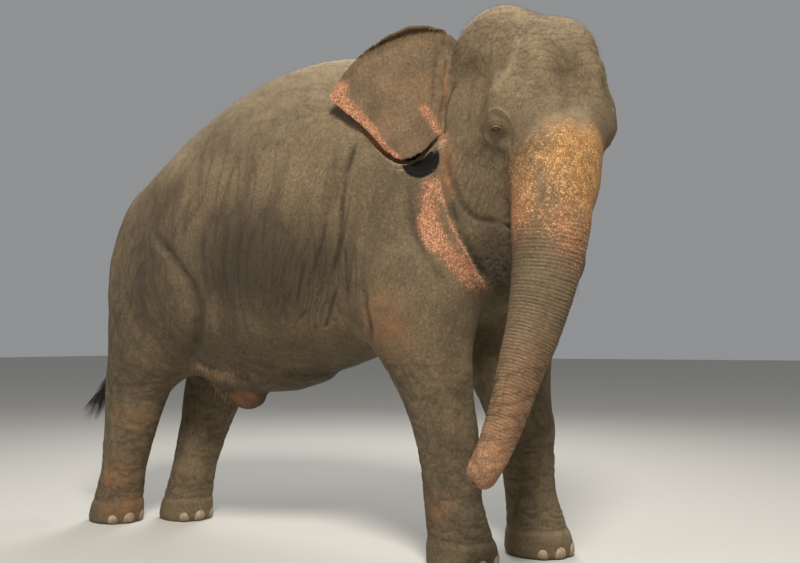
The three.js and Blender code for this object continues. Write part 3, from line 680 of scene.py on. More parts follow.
skin = {
    "cell": 0.015, "quickCell": 0.020, "low": (-1.05, -2.15, -0.05), "high": (1.1, 2.0, 3.05),
    # soft forms added to the body: mirrored on both sides, centre, radius, height
    "forms": [
        ((0.50, 0.76, 2.16), 0.16, 0.022), ((0.46, -0.80, 2.22), 0.20, 0.012),
        ((0.60, 0.05, 1.95), 0.45, 0.006), ((0.60, 0.74, 1.50), 0.22, 0.034),
        ((0.66, 0.33, 1.45), 0.15, -0.034), ((0.56, -0.44, 1.50), 0.20, -0.016),
        ((0.53, -0.74, 1.36), 0.16, 0.016), ((0.52, 0.56, 2.30), 0.15, -0.016),
        ((0.56, -0.34, 2.05), 0.18, -0.010), ((0.52, -0.62, 1.85), 0.22, 0.010),
        ((0.04, -0.20, 1.00), 0.13, 0.020), ((0.04, -0.01, 0.92), 0.13, -0.012),
    ],
    # folds as lines on the body, mirrored: points, width, depth (ridges are negative)
    "folds": [
        ([(-0.498, -0.55, 2.258), (-0.512, -0.539, 2.19), (-0.539, -0.512, 2.061), (-0.551, -0.495, 1.897),
          (-0.55, -0.489, 1.735), (-0.539, -0.447, 1.592), (-0.52, -0.405, 1.47)], 0.013, 0.017),
        ([(-0.53, -0.58, 2.15), (-0.55, -0.555, 2.0), (-0.555, -0.54, 1.86), (-0.55, -0.54, 1.70)],
         0.024, -0.009),
        ([(-0.572, -0.42, 1.845), (-0.575, -0.386, 1.711), (-0.571, -0.346, 1.593), (-0.551, -0.309, 1.471)],
         0.011, 0.012),
        ([(-0.54, -0.508, 1.70), (-0.527, -0.49, 1.521), (-0.491, -0.482, 1.388)], 0.011, 0.012),
        ([(-0.588, -0.287, 1.595), (-0.569, -0.244, 1.472), (-0.526, -0.198, 1.338)], 0.010, 0.009),
        ([(-0.517, -0.434, 1.442), (-0.453, -0.366, 1.31), (-0.417, -0.312, 1.229)], 0.012, 0.010),
        ([(-0.607, -0.171, 1.60), (-0.568, -0.134, 1.393), (-0.504, -0.112, 1.257)], 0.010, 0.007),
        ([(-0.553, -0.419, 2.15), (-0.570, -0.40, 2.0), (-0.577, -0.385, 1.88)], 0.012, 0.008),
        ([(-0.60, -0.33, 1.90), (-0.59, -0.31, 1.74), (-0.58, -0.27, 1.60)], 0.010, 0.006),
        ([(-0.60, 0.80, 1.86), (-0.636, 0.711, 1.765), (-0.655, 0.599, 1.663), (-0.659, 0.504, 1.565),
          (-0.648, 0.452, 1.46), (-0.61, 0.444, 1.335), (-0.547, 0.494, 1.204), (-0.419, 0.636, 1.055),
          (-0.36, 0.70, 0.98)], 0.034, 0.030),
        ([(-0.66, 0.33, 1.52), (-0.63, 0.34, 1.38), (-0.55, 0.41, 1.20), (-0.42, 0.56, 1.02)], 0.030, -0.012),
        ([(-0.60, 0.60, 1.60), (-0.60, 0.53, 1.43), (-0.55, 0.58, 1.26), (-0.42, 0.72, 1.06)], 0.034, -0.016),
        ([(-0.458, -0.943, 2.09), (-0.468, -0.985, 1.96), (-0.47, -1.033, 1.869), (-0.464, -1.086, 1.725),
          (-0.428, -1.153, 1.571), (-0.347, -1.204, 1.456), (-0.275, -1.221, 1.397)], 0.022, -0.016),
        ([(-0.49, -0.87, 2.02), (-0.515, -0.88, 1.85), (-0.52, -0.92, 1.70), (-0.50, -0.99, 1.56),
          (-0.45, -1.08, 1.42)], 0.026, 0.014),
        ([(-0.43, -1.03, 2.00), (-0.44, -1.08, 1.87), (-0.42, -1.13, 1.73), (-0.385, -1.20, 1.58),
          (-0.31, -1.25, 1.46)], 0.020, 0.024),
        ([(-0.12, 1.20, 1.20), (-0.10, 1.30, 1.60), (-0.09, 1.32, 1.95)], 0.045, 0.025),
        ([(-0.42, -0.62, 1.16), (-0.46, -0.66, 1.24), (-0.50, -0.64, 1.34), (-0.52, -0.62, 1.46)],
         0.022, 0.016),
    ],
    # the same on the head, in the head's own frame
    "headFolds": [
        ([(-0.409, 0.084, 0.352), (-0.424, 0.112, 0.276), (-0.444, 0.13, 0.224), (-0.465, 0.149, 0.193)],
         0.014, 0.014),
        ([(-0.42, 0.13, 0.42), (-0.44, 0.16, 0.30), (-0.47, 0.18, 0.15), (-0.49, 0.17, 0.0)], 0.022, -0.010),
        ([(-0.471, 0.076, -0.03), (-0.46, 0.06, -0.12), (-0.45, 0.041, -0.198), (-0.407, 0.004, -0.327),
          (-0.353, -0.026, -0.40), (-0.296, -0.079, -0.424), (-0.273, -0.13, -0.428)], 0.018, 0.018),
        ([(-0.28, -0.12, -0.43), (-0.25, -0.22, -0.50), (-0.17, -0.30, -0.56), (0.0, -0.34, -0.60)],
         0.014, 0.022),
        ([(-0.250, -0.280, 0.47), (-0.272, -0.296, 0.41), (-0.302, -0.288, 0.309), (-0.334, -0.282, 0.256),
          (-0.365, -0.266, 0.205), (-0.390, -0.235, 0.165)], 0.030, -0.018),
        ([(-0.34, -0.13, 0.42), (-0.37, -0.15, 0.30), (-0.385, -0.17, 0.22)], 0.050, 0.007),
        ([(-0.24, -0.36, 0.34), (-0.28, -0.36, 0.24), (-0.31, -0.34, 0.16)], 0.035, 0.010),
        ([(-0.405, -0.20, 0.095), (-0.385, -0.262, 0.112), (-0.350, -0.298, 0.088), (-0.322, -0.318, 0.035),
          (-0.31, -0.31, -0.03)], 0.0070, -0.0032),
        ([(-0.42, 0.170, 0.52), (-0.435, 0.165, 0.42), (-0.438, 0.158, 0.34), (-0.455, 0.160, 0.24)],
         0.016, -0.016),
        ([(-0.458, 0.19, 0.50), (-0.468, 0.19, 0.40), (-0.475, 0.185, 0.30), (-0.485, 0.18, 0.22)],
         0.010, 0.010),
        ([(-0.36, -0.15, -0.03), (-0.375, -0.10, -0.07), (-0.40, -0.04, -0.10)], 0.012, 0.004),
        ([(-0.41, -0.12, -0.01), (-0.39, -0.18, -0.06), (-0.36, -0.24, -0.085), (-0.33, -0.29, -0.08)],
         0.034, -0.010),
        ([(-0.37, -0.12, 0.02), (-0.41, -0.05, 0.0), (-0.45, 0.03, -0.02)], 0.035, -0.008),
        ([(-0.39, -0.02, 0.15), (-0.40, -0.01, 0.10)], 0.007, 0.008),
        ([(-0.345, -0.25, -0.30), (-0.33, -0.20, -0.40), (-0.30, -0.15, -0.43)], 0.016, 0.008),
        ([(0.0, -0.42, 0.36), (0.0, -0.43, 0.22), (0.0, -0.44, 0.08)], 0.06, 0.008),
    ],
    # a fold this deep, or this narrow, gets its darkest painted shade
    "shadeDepth": 0.014, "shadeWidth": 0.016,
    # size of the uneven places, height, seed
    "uneven": [(0.28, 0.0040, 1), (0.11, 0.0022, 2), (0.045, 0.0010, 3)],
}
eyeNodes = {-1: "eye_right", 1: "eye_left"}
eyeCentres = {}
for side, node in eyeNodes.items():
    low, high = (np.array(c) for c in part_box(node))
    eyeCentres[side] = ((low + high) / 2 - place).astype(np.float32)


def nearTrunk(p):
    # which points are near the trunk, with their gap to it and share of the way along it
    low, high = lineBox(trunkLine, 0.22)
    near = ((p > low) & (p < high)).all(1)
    return (near, *alongLine(trunkLine, 16, p[near]))


def wantsFine(p):
    # head, feet, shoulder, ears and trunk
    q = toHead(p)
    fine = (q[:, 1] < 0.26) & (q[:, 2] > -0.86) & (np.abs(q[:, 0]) < 0.60) | (p[:, 2] < 0.26)
    x, y, z = np.abs(p[:, 0]), p[:, 1], p[:, 2]
    fine |= (x > 0.30) & (y > -1.15) & (y < 0.25) & (z > 1.05) & (z < 2.30)
    for side in sides:
        fine |= nearEar(p, side)
    near, gap, share = nearTrunk(p)
    fine[near] |= gap < 0.03
    return fine


def nearEyes(p, reach):
    return np.any([length(p - c) < reach for c in eyeCentres.values()], 0)


def wantsFiner(p):
    # the ringed part of the trunk, and round the eyes
    near, gap, share = nearTrunk(p)
    fine = nearEyes(p, 0.12)
    fine[near] |= (gap < 0.06) & (share > 0.12)
    return fine


def netField(p):
    # with ears thick enough for the first net of points
    return skinField(p, True)


cell = skin["cell"]
points, triangles = surfaceMesh(netField, skin["low"], skin["high"], cell)
report(f"surface with {len(triangles)} triangles")
points, triangles = refine(points, triangles, wantsFine(points[triangles].mean(1)))
points = settle(points, skinField, cell * 0.6)
points, triangles = refine(points, triangles, wantsFiner(points[triangles].mean(1)))
for reach in (0.062, 0.034):
    points, triangles = refine(points, triangles, nearEyes(points[triangles].mean(1), reach))
points = settle(points, skinField, cell * 0.3).astype(np.float32)
report(f"refined to {len(triangles)} triangles")


def strokeAt(p, line, width):
    # closeness to a line on the skin, fading at its ends
    line = np.asarray(line, np.float32)
    reach = width * 2.6
    near = ((p > line.min(0) - reach) & (p < line.max(0) + reach)).all(1)
    total = np.zeros(len(p), np.float32)
    if not near.any():
        return total
    q = p[near]
    best, share = np.full(len(q), 9, np.float32), np.zeros(len(q), np.float32)
    for i, (a, b) in enumerate(zip(line[:-1], line[1:])):
        run = b - a
        t = np.clip((q - a) @ run / (run @ run), 0, 1)
        gap = length(q - a - t[:, None] * run)
        closer = gap < best
        best[closer], share[closer] = gap[closer], (i + t[closer]) / (len(line) - 1)
    fade = smooth(share / 0.18) * smooth((1 - share) / 0.18)
    total[near] = np.exp(-(best / width) ** 2) * (0.15 + 0.85 * fade)
    return total


def curved(line, per=5):
    # a smooth line through the corners, laid on the skin
    line = np.array(line, float)
    t = np.linspace(0, len(line) - 1, (len(line) - 1) * per + 1)
    table = np.column_stack([np.arange(len(line)), line])
    p = rowAt(table, t.astype(np.float32)).astype(np.float32)
    for _ in range(4):
        p = settle(p, skinField, 0.02)
    return p


def strokes(p, line, width, onHead=False):
    # closeness to the line on the right side, then to its mirrored one
    for side in sides:
        corners = np.array(line, float) * [-side, 1, 1]
        yield strokeAt(p, curved(fromHead(corners) if onHead else corners), width)


def creaseField(p, run, spacing, long, seed, sharp=3.0, across=None):
    # creases that follow one direction, from 0 between them to 1 in them
    run = np.array(run, float) / np.linalg.norm(run)
    if across is None:
        side = unit(np.cross(run, (0.31, 0.87, 0.37)))
        third = np.cross(run, side)
    else:
        side = unit(np.array(across, float) - run * (run @ across))
        third = np.cross(run, side) * 0.3
    bend = smoothNoise(p / (spacing * 5), seed + 7)[:, None] * spacing * 0.8
    q = p + bend * side
    spot = np.stack([q @ run / long, q @ side / spacing, q @ third / spacing], 1)
    return np.clip(1 - np.abs(smoothNoise(spot, seed)) * 1.6, 0, 1) ** sharp


def creaseBy(weight, run, spacing, long, seed, depth, shadow, across=None):
    # presses creases into the skin and paints shade into them
    used = weight > 0.01
    crease = creaseField(points[used], run, spacing, long, seed, across=across)
    lift[used] -= depth * weight[used] * crease
    dark[used] = np.maximum(dark[used], shadow * np.clip(weight[used], 0, 1) * crease)


def ball(p, centre, radii):
    # 1 in the middle of a region, 0 outside it
    return smooth(1.25 * (1 - length((p - np.array(centre, np.float32)) / np.array(radii, np.float32))))


def onRightSide(p):
    # the points with the left side folded over the right one
    return np.column_stack([-np.abs(p[:, 0]), p[:, 1:]]).astype(np.float32)


normals = normalsOf(points, triangles)
# lift moves the skin; dark is painted shade for folds, creases, ring grooves, the eyes and the hollow below
# each ear, kept as the crease value
lift, dark = np.zeros(len(points)), np.zeros(len(points))
headPoints = toHead(points)
onRight = onRightSide(points)
sideways, tall = -onRight[:, 0], points[:, 2]

for centre, radius, height in skin["forms"]:
    gap = length(np.stack([sideways, points[:, 1], tall], 1) - np.array(centre))
    lift += height * np.exp(-(gap / radius) ** 2)
for lines, onHead in ((skin["folds"], False), (skin["headFolds"], True)):
    for line, width, depth in lines:
        for close in strokes(points, line, width, onHead):
            # folds that sink in also get painted shade
            if depth > 0:
                close = close * (0.75 + 0.25 * smoothNoise(points / 0.05, 5))
                shade = min(1, depth / skin["shadeDepth"]) * min(1, skin["shadeWidth"] / width)
                dark = np.maximum(dark, close * shade)
            lift -= depth * close
report("folds")

for size, height, seed in skin["uneven"]:
    lift += height * smoothNoise(points / size, seed)

# creases region by region, with painted shade in them
body = 1 - smooth((headPoints[:, 2] + 0.9) / 0.1) * smooth((0.30 - headPoints[:, 1]) / 0.1)
flank = body * smooth((sideways - 0.25) / 0.15) * smooth((0.85 - normals[:, 2]) / 0.35)
behindShoulder, behindElbow, ribs, thigh, shoulder = (flank * ball(onRight, *region) for region in (
    ((-0.55, -0.42, 1.72), (0.5, 0.34, 0.72)), ((-0.58, -0.25, 1.45), (0.5, 0.42, 0.48)),
    ((-0.60, 0.30, 1.75), (0.5, 1.10, 1.10)), ((-0.50, 0.95, 1.50), (0.6, 0.70, 1.00)),
    ((-0.45, -0.95, 1.85), (0.5, 0.42, 0.80)),
))
topOfBack = body * smooth((tall - 2.1) / 0.4) * 0.5
legSkin = smooth((1.25 - tall) / 0.3) * smooth((tall - 0.15) / 0.1) * body
ankle = smooth((0.30 - tall) / 0.06) * smooth((tall - 0.12) / 0.05)
knee = np.exp(-((tall - 0.56) / 0.11) ** 2)
regions = [
    # weight, direction, across it, spacing, length, depth
    (behindShoulder, (0, -0.16, 1), (0, 1, 0), 0.030, 0.70, 0.0080),
    (behindElbow, (0, -0.34, 1), (0, 1, 0), 0.020, 0.46, 0.0060),
    (ribs, (0, -0.10, 1), (0, 1, 0), 0.045, 0.40, 0.0030),
    (thigh, (0.2, 0.45, 1), (0, 1, 0), 0.045, 0.30, 0.0026),
    (thigh, (0.2, -0.70, 1), (0, 1, 0), 0.050, 0.30, 0.0018),
    (shoulder, (0, -0.25, 1), (0, 1, 0), 0.036, 0.42, 0.0060),
    (topOfBack, (0, 1, 0.1), (1, 0, 0), 0.032, 0.12, 0.0020),
    (legSkin, (1, 0.3, 0), (0, 0, 1), 0.030, 0.26, 0.0032),
    (legSkin, (0.2, 0.2, 1), (0.6, 0.8, 0), 0.045, 0.16, 0.0018),
    (ankle, (1, 0.4, 0), (0, 0, 1), 0.016, 0.24, 0.0040),
    (knee, (1, 0.4, 0.05), (0, 0, 1), 0.020, 0.28, 0.0040),
]
for number, (weight, run, across, spacing, long, depth) in enumerate(regions):
    creaseBy(weight, run, spacing, long, 20 + number, depth, 0.55, across)
report("creases")

trunkRings = {
    # by the share of the trunk's length: spacing, depth, painted shade in the grooves
    "spacing": ([0, 0.4, 0.8, 1], [0.021, 0.018, 0.016, 0.015]),
    "depth": ([0, 0.5, 0.85, 1], [0.8, 1, 0.7, 0.35]),
    "dark": ([0.1, 0.5, 0.8], [0.28, 0.44, 0.40]),
    "deepest": 0.0036, "fineDepth": 0.0004, "fineShade": 0.15, "steps": 96, "samples": 400,
}
trunkGap, trunkShare = alongLine(trunkLine, trunkRings["steps"], points, byAxis=True)
stations = np.linspace(0, 1, trunkRings["steps"] + 1)
nodes = rowAt(trunkLine, stations.astype(np.float32))[:, :3]
runs = np.concatenate([[0], np.cumsum(np.linalg.norm(np.diff(nodes, axis=0), axis=1))])
fromAxis = points - np.stack([np.interp(trunkShare, stations, column) for column in nodes.T], 1)
axisGap = np.linalg.norm(fromAxis, axis=1) + 1e-6
facing = (fromAxis @ trunkFront) / axisGap
lateral = (fromAxis @ np.cross(trunkFront, (0, 0, 1))) / axisGap
onTrunk = smooth((0.02 + 0.06 * smooth((facing + 0.2) / 0.4) - trunkGap) / 0.012) * (trunkShare > 0.02)
samples = np.linspace(0, 1, trunkRings["samples"])
ringCount = np.cumsum(runs[-1] / trunkRings["samples"] / np.interp(samples, *trunkRings["spacing"]))
wander = 0.26 * smoothNoise(points / 0.14, 40) + 0.12 * smoothNoise(points / 0.045, 41)
phase = np.interp(np.interp(trunkShare, stations, runs) / runs[-1], samples, ringCount)
phase = phase + wander + 0.35 * np.abs(lateral)
finePhase = 2.0 * phase + 0.5 + 0.12 * smoothNoise(points / 0.04, 42)
groove, fineGroove = ((0.5 + 0.5 * np.cos(2 * np.pi * turns)) ** 4 for turns in (phase, finePhase))
ringed = onTrunk * smooth((trunkShare - 0.06) / 0.30) * smooth((0.985 - trunkShare) / 0.06)
front = 0.55 + 0.45 * smooth((facing + 0.3) / 0.8)
uneven = smoothNoise(np.stack([phase * 0.6, lateral * 1.6, facing * 1.6], 1), 43)
strength = ringed * front * np.clip(0.80 + 0.40 * uneven, 0.45, 1.15)
ringDepth = trunkRings["deepest"] * groove * np.interp(trunkShare, *trunkRings["depth"])
lift -= strength * (ringDepth + trunkRings["fineDepth"] * fineGroove)
# painted shade in the ring grooves
dark = np.maximum(dark, strength * np.interp(trunkShare, *trunkRings["dark"]) * groove)
dark = np.maximum(dark, strength * trunkRings["fineShade"] * fineGroove)
lift *= 1 - 0.75 * onTrunk * smooth((trunkShare - 0.88) / 0.08)
report("trunk rings")

# wrinkles of the brow, face, jaw and cheek, in the head's frame, with painted shade in them
face = smooth((0.22 - headPoints[:, 1]) / 0.1) * smooth((headPoints[:, 2] + 0.86) / 0.05)
face = face * (1 - onTrunk * smooth((trunkShare - 0.2) / 0.2))
brow = face * smooth((headPoints[:, 2] - 0.05) / 0.2)
midFace = face * smooth((0.05 - headPoints[:, 2]) / 0.15) * smooth((headPoints[:, 2] + 0.45) / 0.1)
jaw, cheek = (
    sum(face * ball(headPoints, mirrored(centre, side), radii) for side in (1, -1)) for centre, radii in (
        ((-0.26, -0.08, -0.62), (0.30, 0.30, 0.26)), ((-0.36, -0.17, -0.04), (0.15, 0.17, 0.16)),
    )
)
for weight, run, spacing, long, depth, seed, shadow in [
    (brow, (1, 0.2, 0.1), 0.030, 0.14, 0.0022, 60, 0.35),
    (midFace, (0.2, -0.4, 1), 0.024, 0.14, 0.0022, 61, 0.4),
    (jaw, (0.3, 1, 0.1), 0.013, 0.16, 0.0060, 62, 0.6),
    (cheek, (0.2, 1, -0.5), 0.013, 0.09, 0.0022, 63, 0.16),
]:
    creaseBy(weight, fromHead(np.array([run]))[0] - head["centre"], spacing, long, seed, depth, shadow)

# the toes swell round each nail, with a soft rim over the sole
toe = {
    "count": {"fore": 5, "hind": 4}, "apart": 31, "halfWidth": 0.20, "reach": 0.27,
    "swell": 0.009, "rim": 0.004,
}
for name, leg in legs.items():
    rel = points[:, :2] - np.array(leg["centres"][0][1:3])
    foot = (tall < 0.30) & (np.linalg.norm(rel, axis=1) < toe["reach"])
    angle = np.arctan2(rel[:, 0], -rel[:, 1])
    toes = np.zeros(len(points))
    count = toe["count"][name[:4]]
    for i in range(count):
        at = math.radians((i - (count - 1) / 2) * toe["apart"])
        toes = np.maximum(toes, np.exp(-((angle - at) / toe["halfWidth"]) ** 2))
    bulge = toe["swell"] * (toes - 0.35) * np.exp(-((tall - 0.085) / 0.055) ** 2) * (np.abs(angle) < 1.5)
    rim, groove = np.exp(-((tall - 0.03) / 0.02) ** 2), np.exp(-((tall - 0.145) / 0.018) ** 2)
    bulge += toe["rim"] * rim - toe["rim"] * groove
    lift[foot] += bulge[foot]
lift *= smooth(tall / 0.012)

# ears: soft veins, fewer creases and mottled shade
for side in sides:
    u, v, w = earCoordinates(points, side)
    inEar = nearEar(points, side) & (u > 0.02)
    way = fromHead(np.array([earPlane(side)[0] + np.array([0, 0, -0.5])]))[0] - head["centre"]
    vein = creaseField(points[inEar], way, 0.045, 0.22, 70, 5)
    lift[inEar] = lift[inEar] * (1 - 0.65 * smooth((u[inEar] - 0.05) / 0.08)) + 0.0012 * vein
    dark[inEar] = dark[inEar] * 0.4 + 0.30 * smooth(smoothNoise(points[inEar] / 0.11, 71) * 1.4)

points = points + normals * lift[:, None]
report("displaced")

# lids round the eyes
eye = {
    "radius": 0.0228, "cover": 0.0022, "halfWidth": 0.0222, "upper": 0.0102, "lower": 0.0085, "deep": 0.012,
    # moved from the plain model's eye: ahead, up, out; and turned toward them
    "shift": (0.013, 0.011, -0.0015), "turn": (0.30, 0.12),
    "tilt": math.radians(-17), "look": (0.0, -0.35, -0.10), "lookShare": 0.45,
    # arcs of folds: height above or below the opening, width, depth
    "arcs": [
        (0.0100, 0.0013, 0.0024), (0.0175, 0.0016, 0.0016), (0.0270, 0.0022, 0.0020),
        (-0.0080, 0.0012, 0.0016), (-0.0140, 0.0014, 0.0014),
        (-0.0210, 0.0018, 0.0015), (-0.0300, 0.0022, 0.0014),
    ],
    "socket": (0.004, 0.060, 0.022), "edge": (0.0016, 0.0025, 0.0022), "hugShare": 0.86, "surround": 0.12,
}


def eyeAxes(side, reach=0.02):
    # ahead along the opening, up and out
    centre = eyeCentres[side][None]
    axes = reach * np.eye(3, dtype=np.float32)
    out = unit(np.array([float(headField(centre + a)[0] - headField(centre - a)[0]) for a in axes]))
    ahead = headAxes @ np.array([0, -1, 0])
    lean = eye["turn"][0] * ahead + eye["turn"][1] * np.array([0, 0, 1.0])
    out = unit(out + lean)
    ahead = unit(ahead - out * (ahead @ out))
    up = np.cross(out, ahead) * (-1 if side < 0 else 1)
    up *= np.sign(up[2])
    c, s = math.cos(eye["tilt"]), math.sin(eye["tilt"])
    return c * ahead + s * up, c * up - s * ahead, out


for side in eyeCentres:
    along, up, out = eyeAxes(side)
    centre = (eyeCentres[side] + np.array(eye["shift"]) @ np.array([along, up, out])).astype(np.float32)
    eyeCentres[side] = centre
    rel = points - centre
    near = np.linalg.norm(rel, axis=1) < eye["surround"]
    q = rel[near]
    a, b, c = q @ along, q @ up, q @ out
    opening = np.clip(1 - (a / eye["halfWidth"]) ** 2, 0, 1)
    lidTop, lidLow = eye["upper"] * opening ** 0.8, -eye["lower"] * opening ** 0.9
    outside = np.maximum(np.maximum(b - lidTop, lidLow - b), np.abs(a) - eye["halfWidth"])
    ring = eye["radius"] + eye["cover"]
    flat = a * a + b * b
    gap = np.sqrt(flat)
    # the skin swells gently over the ball, in a shallow socket
    hug = np.sqrt(np.maximum(ring ** 2 - np.minimum(flat, ring ** 2), 0))
    hug = hug - 0.35 * np.maximum(gap - ring * 0.8, 0)
    slope = math.sqrt(1 - eye["hugShare"] ** 2) * ring - 0.55 * (gap - ring * eye["hugShare"])
    hug = np.where(gap < ring * eye["hugShare"], hug, slope)
    depth, middle, width = eye["socket"]
    lid = softMax(c - depth * np.exp(-((gap - middle) / width) ** 2), hug, 0.007)
    arcs = np.zeros(len(q))
    # painted shade: soft round the eye, and along the arcs of folds
    shade = 0.30 * np.exp(-flat / 0.036 ** 2)
    curve = 0.0105 * np.clip(1 - (a / 0.040) ** 2, -1.6, 1)
    for height, width, depth in eye["arcs"]:
        level = curve + height if height > 0 else -curve * 0.8 + height
        close = np.exp(-((b - level) / width) ** 2) * smooth((0.048 + abs(height) * 0.5 - np.abs(a)) / 0.03)
        arcs -= depth * close
        shade = np.maximum(shade, (0.75 if abs(height) < 0.011 else 0.38) * close)
    # a rounded edge on the lids
    height, middle, width = eye["edge"]
    arcs += height * np.exp(-((outside - middle) / width) ** 2)
    hole = smooth((0.0008 - outside) / 0.0012)
    level = (lid + arcs) * (1 - hole) - eye["deep"] * hole
    points[near] = points[near] + (level - c)[:, None] * out
    # painted shade in the corners of the opening and along its rim
    fromCorner = (np.abs(a) - eye["halfWidth"] - 0.004) / 0.012
    corner = np.exp(-fromCorner ** 2 - ((b + 0.10 * np.abs(a)) / 0.004) ** 2)
    rim = np.exp(-(np.clip(outside, 0, 1) / 0.0045) ** 2)
    dark[near] = np.maximum(np.maximum(dark[near], shade), np.maximum(rim, corner))

normals = normalsOf(points, triangles)

# where the skin is pale and freckled, rosy, worn and given painted light, darker and given painted shade
headPoints = toHead(points)
throatLines = [
    ([(-0.46, -0.96, 2.07), (-0.47, -0.985, 1.96), (-0.482, -0.989, 1.833), (-0.496, -1.01, 1.726),
      (-0.487, -1.062, 1.641), (-0.449, -1.123, 1.565), (-0.385, -1.18, 1.485), (-0.275, -1.235, 1.385)],
     0.058, 0.85),
    ([(-0.49, -0.96, 1.84), (-0.501, -0.956, 1.781), (-0.505, -0.997, 1.695), (-0.494, -1.053, 1.61)],
     0.048, 0.80),
    ([(-0.445, -1.0, 2.06), (-0.455, -1.02, 1.98), (-0.462, -1.041, 1.896), (-0.464, -1.069, 1.794),
      (-0.45, -1.113, 1.71), (-0.427, -1.153, 1.633), (-0.355, -1.207, 1.492), (-0.28, -1.234, 1.412)],
     0.016, 0.95),
]
marks = {
    # pale zones in the head's frame, mirrored: centre, radii, strength
    "pinkZones": [
        ((0.0, -0.52, -0.14), (0.46, 0.40, 0.30), 1.0), ((0.0, -0.50, -0.30), (0.42, 0.40, 0.40), 0.95),
        ((0.0, -0.50, -0.55), (0.38, 0.38, 0.42), 0.60), ((-0.33, -0.36, -0.34), (0.17, 0.28, 0.38), 0.66),
        ((-0.17, -0.52, -0.46), (0.24, 0.30, 0.32), 0.62),
    ],
    "pinkFade": 1.22, "golden": ((0, -0.50, -0.18), (0.75, 0.6, 0.55)),
    # on one side of the body only: centre, radii, strength
    "rosyZones": [
        ((-0.53, -0.75, 1.26), (0.18, 0.24, 0.30), 0.5), ((-0.38, 1.12, 0.67), (0.16, 0.20, 0.14), 0.5),
        ((-0.36, 1.27, 0.30), (0.16, 0.18, 0.14), 0.7), ((-0.30, 1.28, 0.12), (0.22, 0.22, 0.12), 0.5),
        ((-0.40, -0.94, 0.30), (0.12, 0.20, 0.16), 0.35), ((-0.07, 0.49, 0.82), (0.10, 0.13, 0.09), 1.0),
    ],
    # paler worn ridges and streaks, and a painted highlight along the brow ridge: lines in the head's frame,
    # mirrored: points, width, strength
    "wornLines": [
        ([(-0.250, -0.280, 0.47), (-0.302, -0.288, 0.309), (-0.334, -0.282, 0.256), (-0.365, -0.266, 0.205),
          (-0.39, -0.235, 0.165)], 0.026, 0.6),
        ([(-0.405, -0.20, 0.095), (-0.385, -0.262, 0.112), (-0.350, -0.298, 0.088), (-0.322, -0.318, 0.035)],
         0.0055, 0.9),
        ([(-0.16, -0.40, 0.50), (-0.17, -0.42, 0.36), (-0.18, -0.44, 0.24)], 0.060, 0.28),
    ],
    "rosyLines": [
        ([(-0.41, 0.165, 0.50), (-0.43, 0.160, 0.42), (-0.432, 0.150, 0.34), (-0.445, 0.150, 0.26)],
         0.020, 0.8),
        ([(-0.469, 0.10, 0.06), (-0.464, 0.078, -0.033), (-0.466, 0.065, -0.116), (-0.466, 0.055, -0.197),
          (-0.464, 0.039, -0.33)], 0.034, 0.9),
    ],
    "pinkLines": [
        ([(-0.52, 0.21, 0.26), (-0.523, 0.199, 0.204), (-0.489, 0.15, 0.125), (-0.489, 0.129, 0.066),
          (-0.48, 0.11, 0.0)], 0.030, 0.7),
    ],
    # painted light beside the sunken temple and below the eye, where the head's shape shades the skin,
    # mirrored: centre, radii, strength
    "wornZones": [
        ((0.38, -0.06, 0.32), (0.16, 0.24, 0.30), 0.34), ((0.36, -0.20, 0.0), (0.14, 0.15, 0.16), 0.38),
    ],
    "wornEar": 0.10, "rosyEar": 0.18, "pinkHem": 0.95,
    # down the ear, width of the pale band on its hem
    "hem": ([0.2, 0.30, 0.45, 0.70], [0.05, 0.11, 0.075, 0.035]),
    # a darker flank and thigh, and painted shade low on the body, under the belly, round the sheath and
    # between jaw and trunk; on the right side and mirrored: centre, radii, strength
    "dampZones": [
        ((-0.60, -0.05, 1.58), (0.6, 0.72, 0.50), 0.92), ((-0.62, 0.75, 1.50), (0.6, 0.50, 0.75), 0.42),
        ((-0.45, 0.20, 1.10), (0.5, 0.90, 0.30), 0.35), ((0, 0.56, 0.86), (0.25, 0.36, 0.20), 0.55),
        ((-0.35, -1.28, 1.55), (0.20, 0.22, 0.34), 0.80), ((0, 0, 0.9), (0.45, 1.4, 0.45), 0.35),
    ],
    # painted shade on the ear's rolled top, and a band of painted shade in front of the thigh's bulge
    "dampRoll": 0.85,
    "dampThigh": ([(-0.67, 0.48, 1.60), (-0.645, 0.42, 1.46), (-0.605, 0.41, 1.335), (-0.54, 0.46, 1.204),
                   (-0.42, 0.60, 1.055)], 0.060, 0.85),
}


def mark(mask, closeness, strength):
    np.maximum(mask, strength * closeness, out=mask)


